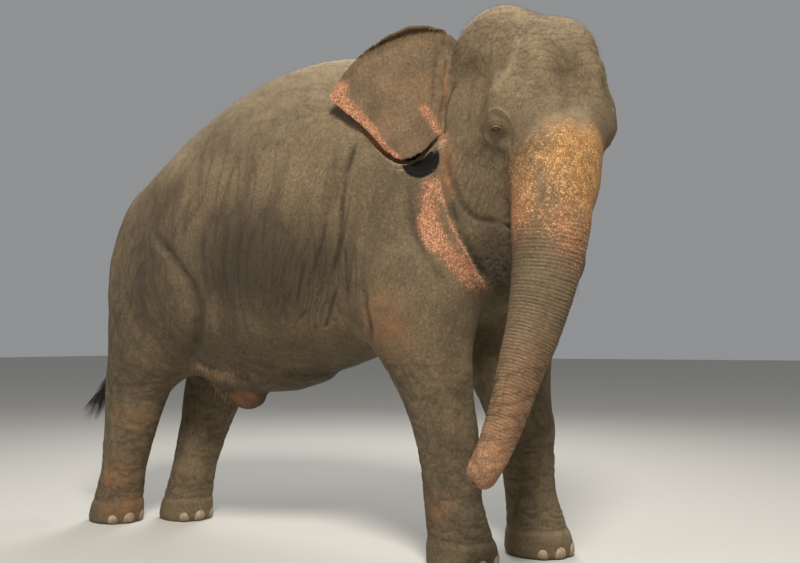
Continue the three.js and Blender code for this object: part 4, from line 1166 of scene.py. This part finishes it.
pink, rosy, worn, damp = (np.zeros(len(points)) for _ in range(4))
headOnRight = onRightSide(headPoints)
for centre, radii, strength in marks["pinkZones"]:
    gap = length((headOnRight - np.array(centre, np.float32)) / np.array(radii, np.float32))
    mark(pink, smooth(marks["pinkFade"] * (1 - gap)), strength)
golden = ball(headPoints, *marks["golden"])
for centre, radii, strength in marks["rosyZones"]:
    mark(rosy, ball(points, centre, radii), strength)
for mask, lines, onHead in (
    (pink, throatLines, False), (worn, marks["wornLines"], True),
    (rosy, marks["rosyLines"], True), (pink, marks["pinkLines"], True), (damp, [marks["dampThigh"]], False),
):
    for line, width, strength in lines:
        for close in strokes(points, line, width, onHead):
            mark(mask, close, strength)
for centre, radii, strength in marks["dampZones"]:
    mark(damp, ball(onRight, centre, radii), strength)
for side in sides:
    for centre, radii, strength in marks["wornZones"]:
        mark(worn, ball(headPoints, mirrored(centre, side), radii), strength)
    onEar = nearEar(points, side)
    u, v, w = earCoordinates(points, side)
    inEar = onEar & (u > -0.02)
    worn[inEar] = np.maximum(worn[inEar], marks["wornEar"])
    rosy[inEar] = np.maximum(rosy[inEar], marks["rosyEar"])
    # a mottled band from the rear corner down to the lobe, widest at the corner
    gap = -edgeDistance(u[inEar], v[inEar])
    hem = smooth((v[inEar] - 0.19) / 0.10) * smooth((u[inEar] - 0.22) / 0.10)
    width = np.interp(v[inEar], *marks["hem"])
    pink[inEar] = np.maximum(pink[inEar], marks["pinkHem"] * hem * smooth((width - gap) / (0.5 * width)))
    # painted shade on the roll along the top, and painted black shadow in the hollow below
    onRoll = onEar & (u > -0.02) & (u < 0.50)
    below = (v - earRoll(u)[0])[onRoll]
    damp[onRoll] = np.maximum(damp[onRoll], marks["dampRoll"] * smooth((0.030 - below) / 0.012))
    dark = np.maximum(dark, 2 * smooth((1.36 - hollowGap(headPoints, side)) / 0.14) * ~onEar)
patchy = 1 + 0.36 * smoothNoise(points / 0.07, 80) + 0.22 * smoothNoise(points / 0.025, 81)
pink = np.clip(pink * patchy, 0, 1)
trunkPink = onTrunk * smooth((trunkShare - 0.42) / 0.45) * (0.55 + 0.45 * smooth((facing + 0.2) / 0.8))
tipPink = onTrunk * smooth((trunkShare - 0.80) / 0.15)

skinPiece = meshObject("skin", points + place, triangles)
addValues(skinPiece, pink=pink, rosy=rosy, crease=dark, trunk=trunkPink, tip=tipPink, golden=golden)
addValues(skinPiece, damp=damp, worn=worn)
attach(skinPiece, "root")
fleshNodes = [
    "head", "lower_jaw", "neck", "chest", "barrel", "rump", "trunk_upper", "trunk_middle", "trunk_tip",
    "tail_root", "tail_end", "sheath", "ear_right", "ear_left",
]
legNodes = ("upper_fore_leg", "lower_fore_leg", "fore_foot", "upper_hind_leg", "lower_hind_leg", "hind_foot")
for part in legNodes:
    fleshNodes += [f"{part}_right", f"{part}_left"]
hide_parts(*fleshNodes)
report("skin made")

eyeballs = []
globe = {"corneaRise": 0.0022, "corneaSpread": 0.42, "rings": 40, "spokes": 56}
for side, node in eyeNodes.items():
    centre, (along, up, out) = eyeCentres[side], eyeAxes(side)
    gaze = unit(out + headAxes @ np.array(eye["look"]) * eye["lookShare"])
    across = unit(np.cross(gaze, up))
    high = np.cross(across, gaze)
    rings, spokes = globe["rings"], globe["spokes"]
    p, fromGaze = [centre + gaze * (eye["radius"] + globe["corneaRise"])], [0.0]
    for a in np.linspace(0, math.pi, rings + 1)[1:-1]:
        radius = eye["radius"] + globe["corneaRise"] * np.exp(-(a / globe["corneaSpread"]) ** 4)
        for t in np.arange(spokes) * 2 * math.pi / spokes:
            spoke = math.cos(t) * across + math.sin(t) * high
            p.append(centre + radius * (math.cos(a) * gaze + math.sin(a) * spoke))
            fromGaze.append(a)
    p.append(centre - gaze * eye["radius"])
    fromGaze.append(math.pi)
    t = []
    for j in range(spokes):
        k = (j + 1) % spokes
        t.append((0, 1 + j, 1 + k))
        for a in range(1, 1 + (rings - 2) * spokes, spokes):
            b = a + spokes
            t += [(a + j, b + j, b + k), (a + j, b + k, a + k)]
        t.append((b + j, len(p) - 1, b + k))
    eyeball = meshObject(f"{node}_ball", np.array(p) + place, np.array(t))
    addValues(eyeball, fromGaze=fromGaze)
    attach(eyeball, "root")
    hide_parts(node)
    eyeballs.append(eyeball)

nail = {
    "half": 0.040, "bottom": 0.008, "top": 0.074, "dome": 0.0075, "edge": 0.0008, "depth": 0.007,
    "ridge": 0.0004, "across": 14, "tall": 12, "smaller": 0.12,
}


def nailMesh(leg, node, size):
    # a shield laid on the toe: flat at the ground, round at the top, domed in the middle
    low, high = (np.array(c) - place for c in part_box(node))
    middle = (low + high) / 2
    away = unit(middle[:2] - np.array(leg["centres"][0][1:3]))
    tangent, outward = np.array([-away[1], away[0], 0.0]), np.array([*away, 0.0])
    close = (np.linalg.norm(points - middle, axis=1) < 0.13)[triangles].all(1)
    used, index = np.unique(triangles[close], return_inverse=True)
    toeSkin = BVHTree.FromPolygons(points[used].tolist(), index.reshape(-1, 3).tolist())
    front, back = [], []
    s = np.linspace(-1, 1, nail["across"] + 1)
    for t in np.linspace(0, 1, nail["tall"] + 1):
        height = nail["bottom"] + t * (nail["top"] - nail["bottom"]) * size
        rounded = math.sqrt(max(1 - max(0, (t - 0.15) / 0.85) ** 2.2, 0.02))
        row = []
        for x in s * (nail["half"] * size * (1 - 0.08 * (1 - t)) * rounded):
            start = np.array([*middle[:2], 0]) + tangent * x + outward * 0.09 + np.array([0, 0, height])
            spot = toeSkin.ray_cast(Vector(start), Vector(-outward), 0.2)[0]
            row.append(start - outward * 0.1 if spot is None else np.array(spot))
        row = np.array(row)
        rim = np.minimum(1 - np.abs(s), min((1 - t) * 1.2, 1))
        swell = nail["edge"] + nail["dome"] * np.sqrt(np.clip(rim * 1.5, 0, 1)) * (1 - 0.4 * t)
        front.append(row + outward * (swell + nail["ridge"] * np.cos(s * 24 + 3 * t))[:, None])
        back.append(row - outward * nail["depth"])
    ids = np.arange(len(front) * len(s)).reshape(len(front), len(s))
    n = ids.size
    a, b, c, d = (atCorner(ids, corner).ravel() for corner in ((0, 0), (0, 1), (1, 1), (1, 0)))
    faces = np.stack([a, b, c, a, c, d, a + n, c + n, b + n, a + n, d + n, c + n], 1)
    a = np.concatenate([ids[0], ids[1:, -1], ids[-1, -2::-1], ids[-2:0:-1, 0]])
    b = np.roll(a, -1)
    border = np.stack([a, a + n, b + n, a, b + n, b], 1)
    return np.concatenate(front + back), np.concatenate([faces.reshape(-1, 3), border.reshape(-1, 3)])


nailParts = []
for name, leg in legs.items():
    foot = name.replace("_leg", "_foot")
    nodes = sorted(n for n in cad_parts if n.startswith(f"{foot}_nail_"))
    p, t = [], []
    for i, node in enumerate(nodes):
        spots, faces = nailMesh(leg, node, 1 - nail["smaller"] * abs(i - (len(nodes) - 1) / 2))
        t.append(faces + sum(map(len, p)))
        p.append(spots)
    piece = meshObject(f"{foot}_nails", np.concatenate(p) + place, np.concatenate(t))
    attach(piece, "root")
    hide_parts(*nodes)
    nailParts.append(piece)
report("eyes and nails")

# closed three-sided strands that taper to a point
hair = {
    # amount, length, thickness at the root, rings
    "crown": (4200, (0.014, 0.032), 0.00040, 2),
    "back": (4200, (0.012, 0.026), 0.00038, 2),
    "face": (2200, (0.007, 0.014), 0.00030, 1),
    "chin": (420, (0.045, 0.105), 0.0007, 4),
    "belly": (520, (0.016, 0.048), 0.0006, 3),
    "ear": (260, (0.020, 0.045), 0.0005, 3),
    "throat": (420, (0.008, 0.022), 0.0009, 2),
    "lash": (26, (0.010, 0.017), 0.00040, 4),
    "brush": (620, (0.10, 0.20), 0.0011, 5),
    "quickShare": 0.25, "sink": 0.002, "taper": 0.75,
    # bare skin round the eyes, share of the lid with lashes, start of the brush along the tail
    "bareRound": 0.05, "lashShare": 0.88, "brushFrom": 0.80,
    # where a strand's patch lies on the map: margin, its size, the body's reach, length and middle height
    "margin": 0.04, "patch": 0.003, "bodyFront": 2.0, "bodyLength": 4.0, "bodyMiddle": 1.5,
}
dice = np.random.default_rng(11)


def unitRows(rows, least=0.0):
    return rows / (np.linalg.norm(rows, axis=1, keepdims=True) + least)


def strands(roots, ways, sizes, thick, rings, curl=None, fall=0.0):
    # roots, unit directions and lengths of closed strands; they bend toward curl or down
    count = len(roots)
    ways = unitRows(ways, 1e-9)
    curl = np.tile([0, 0, -1.0], (count, 1)) if curl is None else curl
    helper = np.where(np.abs(ways[:, :1]) > 0.7, [[0, 1, 0]], [[1, 0, 0]])
    side = unitRows(np.cross(ways, helper))
    other = np.cross(ways, side)
    spin = dice.uniform(0, 2 * math.pi, count)
    levels = []
    for t in np.arange(rings) / rings:
        at = roots + ways * (sizes * t)[:, None] + curl * (fall * sizes * t * t)[:, None]
        r = thick * (1 - hair["taper"] * t)
        for k in range(3):
            angle = spin + k * 2 * math.pi / 3
            levels.append(at + side * (np.cos(angle) * r)[:, None] + other * (np.sin(angle) * r)[:, None])
    levels.append(roots + ways * sizes[:, None] + curl * (fall * sizes)[:, None])
    per = 3 * rings + 1
    t = [(0, 2, 1)]
    for i in range(0, 3 * (rings - 1), 3):
        for a, b in ((i, i + 1), (i + 1, i + 2), (i + 2, i)):
            t += [(a, b, b + 3), (a, b + 3, a + 3)]
    last = 3 * (rings - 1)
    t += [(last + k, last + (k + 1) % 3, per - 1) for k in range(3)]
    triangles = np.array(t)[None] + (np.arange(count) * per)[:, None, None]
    return np.stack(levels, 1).reshape(-1, 3), triangles.reshape(-1, 3), per


def hairPiece(name, roots, ways, sizes, thick, rings, marking=None, **more):
    p, t, per = strands(roots - ways * hair["sink"], ways, sizes, thick, rings, **more)
    piece = meshObject(name, p + place, t, False)
    # each strand's patch lies at its root's place on an unwrap along and round the body
    aboutBody = np.arctan2(roots[:, 0], roots[:, 2] - hair["bodyMiddle"]) / (2 * math.pi) + 0.5
    shares = np.stack([(roots[:, 1] + hair["bodyFront"]) / hair["bodyLength"], aboutBody], 1)
    ring = np.minimum(np.arange(per) // 3, rings) / rings
    corner = np.where(np.arange(per) == per - 1, 1, np.arange(per) % 3) / 2
    patch = hair["patch"] * np.stack([ring - 0.5, corner - 0.5], 1)
    uv = (hair["margin"] + (1 - 2 * hair["margin"]) * shares)[:, None] + patch[None]
    layer = piece.data.uv_layers.new(name="OFBake")
    layer.data.foreach_set("uv", uv.reshape(-1, 2)[t.ravel()].astype(np.float32).ravel())
    marking = np.zeros(len(roots)) if marking is None else marking
    strand = dice.uniform(0, 1, len(roots))
    addValues(piece, strand=np.repeat(strand, per), marking=np.repeat(marking, per))
    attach(piece, "root")
    return piece


def scatter(weight, amount):
    # random places on the skin, by a weight for each point of it, with its normal and marking
    a, b, c = (points[triangles[:, i]] for i in range(3))
    area = np.linalg.norm(np.cross(b - a, c - a), axis=1)
    chance = area * weight[triangles].mean(1)
    chosen = triangles[dice.choice(len(triangles), amount, p=chance / chance.sum())]
    r = dice.uniform(0, 1, (amount, 2))
    r = np.where(r.sum(1, keepdims=True) > 1, 1 - r, r)
    a, b, c = (points[chosen[:, i]] for i in range(3))
    spot = a * (1 - r.sum(1))[:, None] + b * r[:, :1] + c * r[:, 1:]
    return spot, normals[chosen[:, 0]], np.maximum(pink, 0.7 * rosy)[chosen[:, 0]]


def combed(out, way, rise, spread):
    # directions that lie along the skin one way, and rise from it
    way = np.tile(np.asarray(way, float), (len(out), 1))
    way = unitRows(way - out * np.einsum("ij,ij->i", way, out)[:, None], 1e-9)
    return unitRows(way * (1 - rise) + out * rise + dice.normal(0, spread, way.shape))


ahead, aside, above = -headPoints[:, 1], np.abs(headPoints[:, 0]), headPoints[:, 2]
awayFromEyes = ~nearEyes(points, hair["bareRound"])
crownWeight = smooth((above - 0.18) / 0.35) * smooth((0.35 + ahead) / 0.15) * (aside < 0.42) * awayFromEyes
backWeight = body * smooth((points[:, 2] - 1.9) / 0.6) * smooth(normals[:, 2] / 0.6)
faceWeight = smooth((above + 0.85) / 0.2) * smooth((ahead - 0.05) / 0.1)
faceWeight = faceWeight * (1 - onTrunk * smooth((trunkShare - 0.3) / 0.2)) * awayFromEyes
chinWeight = ball(headPoints, (0.0, -0.16, -0.80), (0.16, 0.22, 0.14))
chinWeight = np.maximum(chinWeight, 0.5 * ball(headPoints, (0, -0.30, -0.76), (0.10, 0.12, 0.10)))
fringe = curved([(-0.37, 0.66, 1.02), (-0.35, 0.593, 1.005), (-0.311, 0.555, 0.98), (-0.309, 0.481, 0.969),
                 (-0.295, 0.37, 0.957)])
fringeWeight = strokeAt(points, fringe, 0.040)
fringeWeight = np.maximum(fringeWeight, 0.15 * ball(points, (-0.02, 0.70, 0.86), (0.14, 0.16, 0.14)))
earWeight, ridgeWeight = np.full(len(points), 1e-9), np.zeros(len(points))
for side in sides:
    mark(earWeight, ball(headPoints, (side * 0.47, 0.13, 0.02), (0.05, 0.05, 0.10)), 1)
for close in strokes(points, throatLines[2][0], 0.022):
    mark(ridgeWeight, close, 1)

hairPieces = []
for name, weight, way, rise, spread, fall in [
    # where on the skin, way the hairs lie, how far they stand out, spread, fall
    ("crown", crownWeight, headAxes @ np.array([0, 0.9, 0.35]), 0.62, 0.22, 0.15),
    ("back", backWeight, (0, 0.8, 0.1), 0.55, 0.22, 0.15),
    ("face", faceWeight, (0, 0, -1), 0.45, 0.22, 0.15),
    ("chin", chinWeight, (0, 0.1, -1), 0.30, 0.18, 0.25),
    ("belly", fringeWeight, (0, 0.15, -1), 0.22, 0.28, 0.30),
    ("ear", earWeight, headAxes @ np.array([0, 0.8, -0.5]), 0.35, 0.20, 0.25),
    ("throat", ridgeWeight, (0, -0.3, -1), 0.40, 0.55, 0.20),
]:
    amount, sizes, thick, rings = hair[name]
    amount = int(amount * (1.0))
    root, out, marking = scatter(weight, amount)
    ways = combed(out, way, rise, spread)
    sizes = dice.uniform(*sizes, amount)
    hairPieces.append(hairPiece(f"hair_{name}", root, ways, sizes, thick, rings, marking, fall=fall))

# lashes along the upper lid
roots, ways, bends = [], [], []
amount, sizes, thick, rings = hair["lash"]
for side, centre in eyeCentres.items():
    along, up, out = eyeAxes(side)
    for a in np.linspace(-hair["lashShare"], hair["lashShare"], amount):
        x = a * eye["halfWidth"]
        y = eye["upper"] * (1 - a * a) ** 0.8 + 0.0012
        z = math.sqrt(max((eye["radius"] + eye["cover"]) ** 2 - x * x - y * y, 0)) - 0.0005
        roots.append(centre + along * x + up * y + out * z)
        ways.append(out * 0.8 + up * 0.10 + along * (0.25 + 0.3 * a) + dice.normal(0, 0.08, 3))
        bends.append(-up)
roots, ways, bends = np.array(roots), unitRows(np.array(ways)), np.array(bends)
sizes = dice.uniform(*sizes, len(roots))
hairPieces.append(hairPiece("hair_lashes", roots, ways, sizes, thick, rings, curl=bends, fall=0.45))

# the tail's brush: wiry hairs fanned round the end
amount, sizes, thick, rings = hair["brush"]
nodes = rowAt(tailLine, np.linspace(hair["brushFrom"], 1.0, 40).astype(np.float32))
pick = dice.integers(0, len(nodes), amount)
wayEnd = unit(nodes[-1, :3] - nodes[-6, :3])
fan = dice.normal(0, 1, (amount, 3))
fan -= (fan @ wayEnd)[:, None] * wayEnd
fan = unitRows(fan)
root = nodes[pick, :3] + fan * (nodes[pick, 3] * 0.8)[:, None]
ways = unitRows(wayEnd * 0.85 + fan * 0.28 + np.array([0, 0.05, -0.35]))
brush = hairPiece("tail_hairs", root, ways, dice.uniform(*sizes, amount), thick, rings, fall=0.25)
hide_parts("tail_brush")
hairPieces.append(brush)
report(f"hair with {sum(len(p.data.polygons) for p in hairPieces)} triangles")


def tint(r, g, b):
    # a screen colour as the shader takes it
    rgb = (c / 255 / 12.92 if c < 11 else ((c / 255 + 0.055) / 1.055) ** 2.4 for c in (r, g, b))
    return (*rgb, 1.0)


class Shade:
    # one output in a finish's nodes, with arithmetic
    def __init__(self, finish, socket):
        self.finish, self.socket = finish, socket

    def maths(self, operation, *values):
        return self.finish.add("ShaderNodeMath", {"operation": operation}, dict(enumerate(values)))

    def __add__(self, other):
        return self.maths("ADD", self, other)

    def __sub__(self, other):
        return self.maths("SUBTRACT", self, other)

    def __rsub__(self, other):
        return self.maths("SUBTRACT", other, self)

    def __mul__(self, other):
        return self.maths("MULTIPLY", self, other)

    __radd__, __rmul__ = __add__, __mul__

    def __abs__(self):
        return self.maths("ABSOLUTE", self)

    def between(self, low, high):
        # 0 below low, 1 above high, smooth in between
        values = {"Value": self, "From Min": low, "From Max": high}
        return self.finish.add("ShaderNodeMapRange", {"interpolation_type": "SMOOTHSTEP"}, values)


class Finish:
    # a material with its tints by name, and one method that adds any node
    def __init__(self, name, tints):
        self.material = bpy.data.materials.new(name)
        self.material.use_nodes = True
        self.tree = self.material.node_tree
        self.tree.nodes.clear()
        self.tints = {name: tint(*rgb) for name, rgb in tints.items()}
        self.place = self.add("ShaderNodeTexCoord", {}, {}, "Object")

    def add(self, kind, settings, values, output=0):
        node = self.tree.nodes.new(kind)
        for key, value in settings.items():
            setattr(node, key, value)
        for key, value in values.items():
            if isinstance(value, Shade):
                self.tree.links.new(value.socket, node.inputs[key])
            else:
                node.inputs[key].default_value = value
        return Shade(self, node.outputs[output]) if node.outputs else None

    def attribute(self, name):
        return self.add("ShaderNodeAttribute", {"attribute_name": name}, {}, "Fac")

    def stretched(self, scale):
        return self.add("ShaderNodeVectorMath", {"operation": "MULTIPLY"}, {0: self.place, 1: scale})

    def noise(self, scale, detail=3, rough=0.55, where=None):
        values = {"Vector": where or self.place, "Scale": scale, "Detail": detail, "Roughness": rough}
        return self.add("ShaderNodeTexNoise", {}, values, "Fac")

    def cells(self, scale, where, feature="F1", output="Distance"):
        values = {"Vector": where, "Scale": scale}
        return self.add("ShaderNodeTexVoronoi", {"feature": feature}, values, output)

    def channel(self, kind, source, name):
        return self.add(kind, {}, {0: source}, name)

    def blend(self, share, first, second):
        first, second = (self.tints[c] if isinstance(c, str) else c for c in (first, second))
        return self.add("ShaderNodeMix", {"data_type": "RGBA"}, {0: share, 6: first, 7: second}, 2)

    def layers(self, colour, *rows):
        # lays tints over a colour one after another, each by its share
        for second, share in rows:
            colour = self.blend(share, colour, second)
        return colour

    def surface(self, values, height=None, distance=0.001):
        if height is not None:
            bump = {"Height": height, "Strength": 1.0, "Distance": distance}
            values["Normal"] = self.add("ShaderNodeBump", {}, bump, "Normal")
        shader = self.add("ShaderNodeBsdfPrincipled", {}, values)
        self.add("ShaderNodeOutputMaterial", {}, {"Surface": shader})
        return self.material


hideTints = {
    "base": (96, 82, 61), "lighter": (120, 103, 77), "patches": (138, 119, 90), "streaks": (74, 62, 45),
    "darkGrain": (66, 55, 41), "paleGrain": (152, 132, 102), "dustAndTopLight": (170, 152, 124), "worn": (176, 150, 116),
    "damp": (52, 43, 32), "rosy": (164, 112, 74), "trunk": (158, 110, 76), "trunkSpecks": (196, 148, 108),
    "bare": (176, 116, 82), "pale": (206, 146, 110), "palest": (236, 188, 152),
    "goldenBare": (184, 132, 76), "goldenPale": (212, 156, 92), "goldenPalest": (240, 200, 138),
    "freckle": (96, 66, 46), "tip": (186, 138, 104),
    "crease": (32, 26, 19), "shadowedHollow": (7, 6, 5), "crackAndShade": (46, 38, 29),
}


def hideFinish():
    hide = Finish("elephant_hide", hideTints)
    pink, rosy, crease, golden = (hide.attribute(name) for name in ("pink", "rosy", "crease", "golden"))
    trunk, tip, damp, worn = (hide.attribute(name) for name in ("trunk", "tip", "damp", "worn"))
    broad, patchy, fine = hide.noise(1.6, 4, 0.6), hide.noise(7, 6, 0.62), hide.noise(64, 6, 0.68)
    streaks = hide.noise(3.2, 5, 0.62, hide.stretched((2.6, 2.6, 0.55)))
    shake = hide.add("ShaderNodeTexNoise", {}, {"Vector": hide.place, "Scale": 26, "Detail": 3}, "Color")
    wobble = {0: shake, 1: (0.016, 0.016, 0.016), 2: hide.place}
    wobble = hide.add("ShaderNodeVectorMath", {"operation": "MULTIPLY_ADD"}, wobble)
    facing = hide.add("ShaderNodeNewGeometry", {}, {}, "Normal")
    up = hide.channel("ShaderNodeSeparateXYZ", facing, "Z")
    # painted black shadow in the hollow below each ear, where the crease value passes 1
    shadowedHollow = crease.between(1.1, 1.8)
    colour = hide.blend(broad.between(0.35, 0.65), "base", "lighter")
    # mud and grain, dust and painted light from above on upward faces, then the reddish brown of the trunk
    colour = hide.layers(
        colour,
        ("patches", patchy.between(0.42, 0.72) * 0.30), ("streaks", streaks.between(0.50, 0.72) * 0.18),
        ("darkGrain", (1 - fine.between(0.34, 0.54)) * 0.36), ("paleGrain", fine.between(0.52, 0.66) * 0.26),
        ("dustAndTopLight", up.between(0.1, 0.95) * (0.54 + 0.16 * patchy.between(0.3, 0.65))),
        # wear with painted highlights, a darker flank with painted shade
        ("worn", worn * (0.35 + 0.4 * fine)), ("damp", damp * (0.6 + 0.4 * patchy)),
        ("rosy", rosy * (0.35 + 0.45 * patchy.between(0.36, 0.6))), ("trunk", trunk * (0.30 + 0.35 * fine)),
    )
    # the bare skin is tinted, with small cells that are paler or darker by chance
    blotch = hide.noise(60, 4, 0.6)
    mottled = hide.cells(135, wobble, output="Color")
    chance, tone = (hide.channel("ShaderNodeSeparateColor", mottled, name) for name in ("Red", "Green"))
    core = 1 - hide.cells(135, wobble).between(0.30, 0.66)
    bare = (pink + (blotch - 0.5) * 0.5 * pink).between(0.02, 0.95)
    pale, goldenPale = hide.blend(tone, "pale", "palest"), hide.blend(tone, "goldenPale", "goldenPalest")
    spot = (pink * 0.75 + (blotch - 0.5) * 0.4 - chance).between(-0.10, 0.10) * core
    freckle = (chance - 0.60).between(0.0, 0.12) * core
    small = hide.cells(150, wobble)
    colour = hide.layers(
        colour,
        (hide.blend(golden, "bare", "goldenBare"), bare * 0.80),
        (hide.blend(golden, pale, goldenPale), spot * bare.between(0.05, 0.35) * 0.70),
        ("freckle", freckle * bare * 0.68), ("tip", tip * (0.10 + 0.70 * small.between(0.28, 0.55))),
        ("freckle", tip * (1 - small.between(0.10, 0.30)) * 0.55),
        ("trunkSpecks", trunk * small.between(0.45, 0.62) * blotch.between(0.45, 0.62) * 0.3),
        # painted shade in creases, folds and grooves, and painted black shadow in the hollow below each ear
        ("crease", crease * 0.84), ("shadowedHollow", shadowedHollow),
    )
    # wandering wrinkles and a fine net of cracks, with painted shade in their lines
    longLine = abs(hide.noise(15, 5, 0.58, wobble) - 0.5).between(0.0, 0.020)
    shortLine = abs(hide.noise(44, 5, 0.60, wobble) - 0.5).between(0.0, 0.030)
    crackAndShade = hide.cells(105, wobble, "DISTANCE_TO_EDGE").between(0.0, 0.09)
    grain = hide.noise(260, 4, 0.7)
    for line, share in ((longLine, 0.12), (shortLine, 0.10), (crackAndShade, 0.14)):
        colour = hide.layers(colour, ("crackAndShade", (1 - line) * share))
    height = longLine * 0.5 + shortLine * 0.45 + crackAndShade * 0.35 + fine * 0.9 + grain * 0.35 + streaks * 0.3
    rough = 0.62 + patchy * 0.22 + shadowedHollow * 0.3
    values = {"Base Color": colour, "Roughness": rough, "Specular IOR Level": 0.30}
    return hide.surface(values, height, 0.0022)


def nailFinish():
    horn = Finish("toenail_horn", {
        "horn": (150, 131, 106), "paler": (186, 167, 140), "stain": (112, 92, 70), "earth": (88, 70, 54),
    })
    along, stain = horn.noise(9, 4, 0.6, horn.stretched((14, 14, 1))), horn.noise(30, 4)
    low = 1 - horn.channel("ShaderNodeSeparateXYZ", horn.place, "Z").between(0.012, 0.060)
    colour = horn.blend(along.between(0.35, 0.65), "horn", "paler")
    colour = horn.layers(colour, ("stain", stain.between(0.45, 0.75) * 0.5), ("earth", low * 0.55))
    height = along * 1.0 + stain * 0.6
    return horn.surface({"Base Color": colour, "Roughness": 0.42 + stain * 0.25}, height, 0.0010)


def eyeFinish():
    globe = Finish("eye_globe", {
        "white": (84, 62, 48), "veins": (52, 38, 30), "iris": (58, 34, 16), "rays": (104, 66, 32),
        "edge": (38, 24, 16), "pupil": (6, 5, 5),
    })
    turn = globe.attribute("fromGaze")
    iris = 1 - turn.between(0.50, 0.56)
    rayed = globe.blend(globe.noise(160, 3, 0.6).between(0.35, 0.65), "iris", "rays")
    colour = globe.blend(globe.noise(60, 3).between(0.35, 0.7), "white", "veins")
    colour = globe.layers(colour, (rayed, iris), ("edge", iris * turn.between(0.40, 0.52)),
                          ("pupil", 1 - turn.between(0.20, 0.225)))
    values = {"Base Color": colour, "Roughness": 0.12, "Coat Weight": 1.0, "Coat Roughness": 0.03}
    return globe.surface(values)


bristles = {
    # tints of the darkest and palest hair, roughness and how much it varies
    "bristle": ({
        "dark": (58, 44, 34), "pale": (140, 112, 84), "onPink": (196, 150, 118), "palest": (236, 206, 176),
    }, 0.5, 0.15),
    "pale_bristle": ({"dark": (170, 132, 96), "pale": (214, 184, 146)}, 0.5, 0.15),
    "tail_bristle": ({"dark": (26, 20, 17), "pale": (52, 41, 33)}, 0.42, 0.1),
}


def bristleFinish(name):
    tints, rough, uneven = bristles[name]
    bristle = Finish(name, tints)
    strand = bristle.attribute("strand")
    if "onPink" in tints:
        # pale where the skin is
        colour = bristle.blend(strand.between(0.2, 0.9), "dark", "pale")
        marking = bristle.attribute("marking").between(0.15, 0.5)
        colour = bristle.blend(marking, colour, bristle.blend(strand, "onPink", "palest"))
    else:
        colour = bristle.blend(strand, "dark", "pale")
    return bristle.surface({"Base Color": colour, "Roughness": rough + strand * uneven})


hairMaterials = {name: bristleFinish(name) for name in bristles}
hairOf = {"tail_hairs": "tail_bristle", "hair_lashes": "tail_bristle", "hair_belly": "pale_bristle"}
for pieces, material in (([skinPiece], hideFinish()), (nailParts, nailFinish()), (eyeballs, eyeFinish())):
    for piece in pieces:
        piece.data.materials.append(material)
for piece in hairPieces:
    piece.data.materials.append(hairMaterials[hairOf.get(piece.name, "bristle")])
report("finishes")

# floor, light and camera
studio = {
    "floor": (196, 194, 188), "floorReach": 60.0, "world": tint(228, 230, 232), "worldStrength": 0.36,
    # place, aim, size, power, colour
    "lights": {
        "key": ((-5.4, -3.6, 8.0), (0, -0.3, 1.7), 2.6, 1050, (1.0, 0.95, 0.86)),
        "fill": ((-6.0, 4.5, 2.5), (0, 0, 1.4), 4.0, 90, (0.96, 0.97, 1.0)),
        "rim": ((4.5, 1.5, 6.0), (0, 0, 1.8), 3.0, 260, (1.0, 0.98, 0.95)),
    },
    "cameraPlace": (-4.3115, -2.7195, 1.15), "azimuth": -64.0, "pitch": 4.4, "lens": 36.68, "sensor": 36.0,
    "clip": (0.05, 100),
}


def stand(name, data, spot):
    thing = bpy.data.objects.new(name, data)
    thing.location = spot
    bpy.context.collection.objects.link(thing)
    return thing


floorMesh = bpy.data.meshes.new("floor")
edge = studio["floorReach"]
floorCorners = [(-edge, -edge, 0), (edge, -edge, 0), (edge, edge, 0), (-edge, edge, 0)]
floorMesh.from_pydata(floorCorners, [], [(0, 1, 2, 3)])
floor = stand("floor", floorMesh, (0, 0, 0))
ground = Finish("studio_floor", {"floor": studio["floor"]})
floor.data.materials.append(ground.surface({"Base Color": ground.tints["floor"], "Roughness": 0.85}))

world = bpy.data.worlds.new("studio")
world.use_nodes = True
sky = world.node_tree.nodes["Background"].inputs
sky["Color"].default_value, sky["Strength"].default_value = studio["world"], studio["worldStrength"]
bpy.context.scene.world = world

for name, (spot, aim, size, power, colour) in studio["lights"].items():
    lamp = bpy.data.lights.new(name, "AREA")
    lamp.shape, lamp.size, lamp.energy, lamp.color = "DISK", size, power, colour
    holder = stand(name, lamp, spot)
    holder.rotation_euler = (Vector(aim) - Vector(spot)).to_track_quat("-Z", "Y").to_euler()

camera = bpy.data.cameras.new("camera")
camera.lens, camera.sensor_width, camera.sensor_fit = studio["lens"], studio["sensor"], "HORIZONTAL"
camera.clip_start, camera.clip_end = studio["clip"]
eyeLevel = stand("camera", camera, studio["cameraPlace"])
eyeLevel.rotation_euler = (math.radians(90 + studio["pitch"]), 0, math.radians(studio["azimuth"]))
bpy.context.scene.camera = eyeLevel
bpy.context.scene.view_settings.view_transform = "Standard"


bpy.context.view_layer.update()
report("studio")
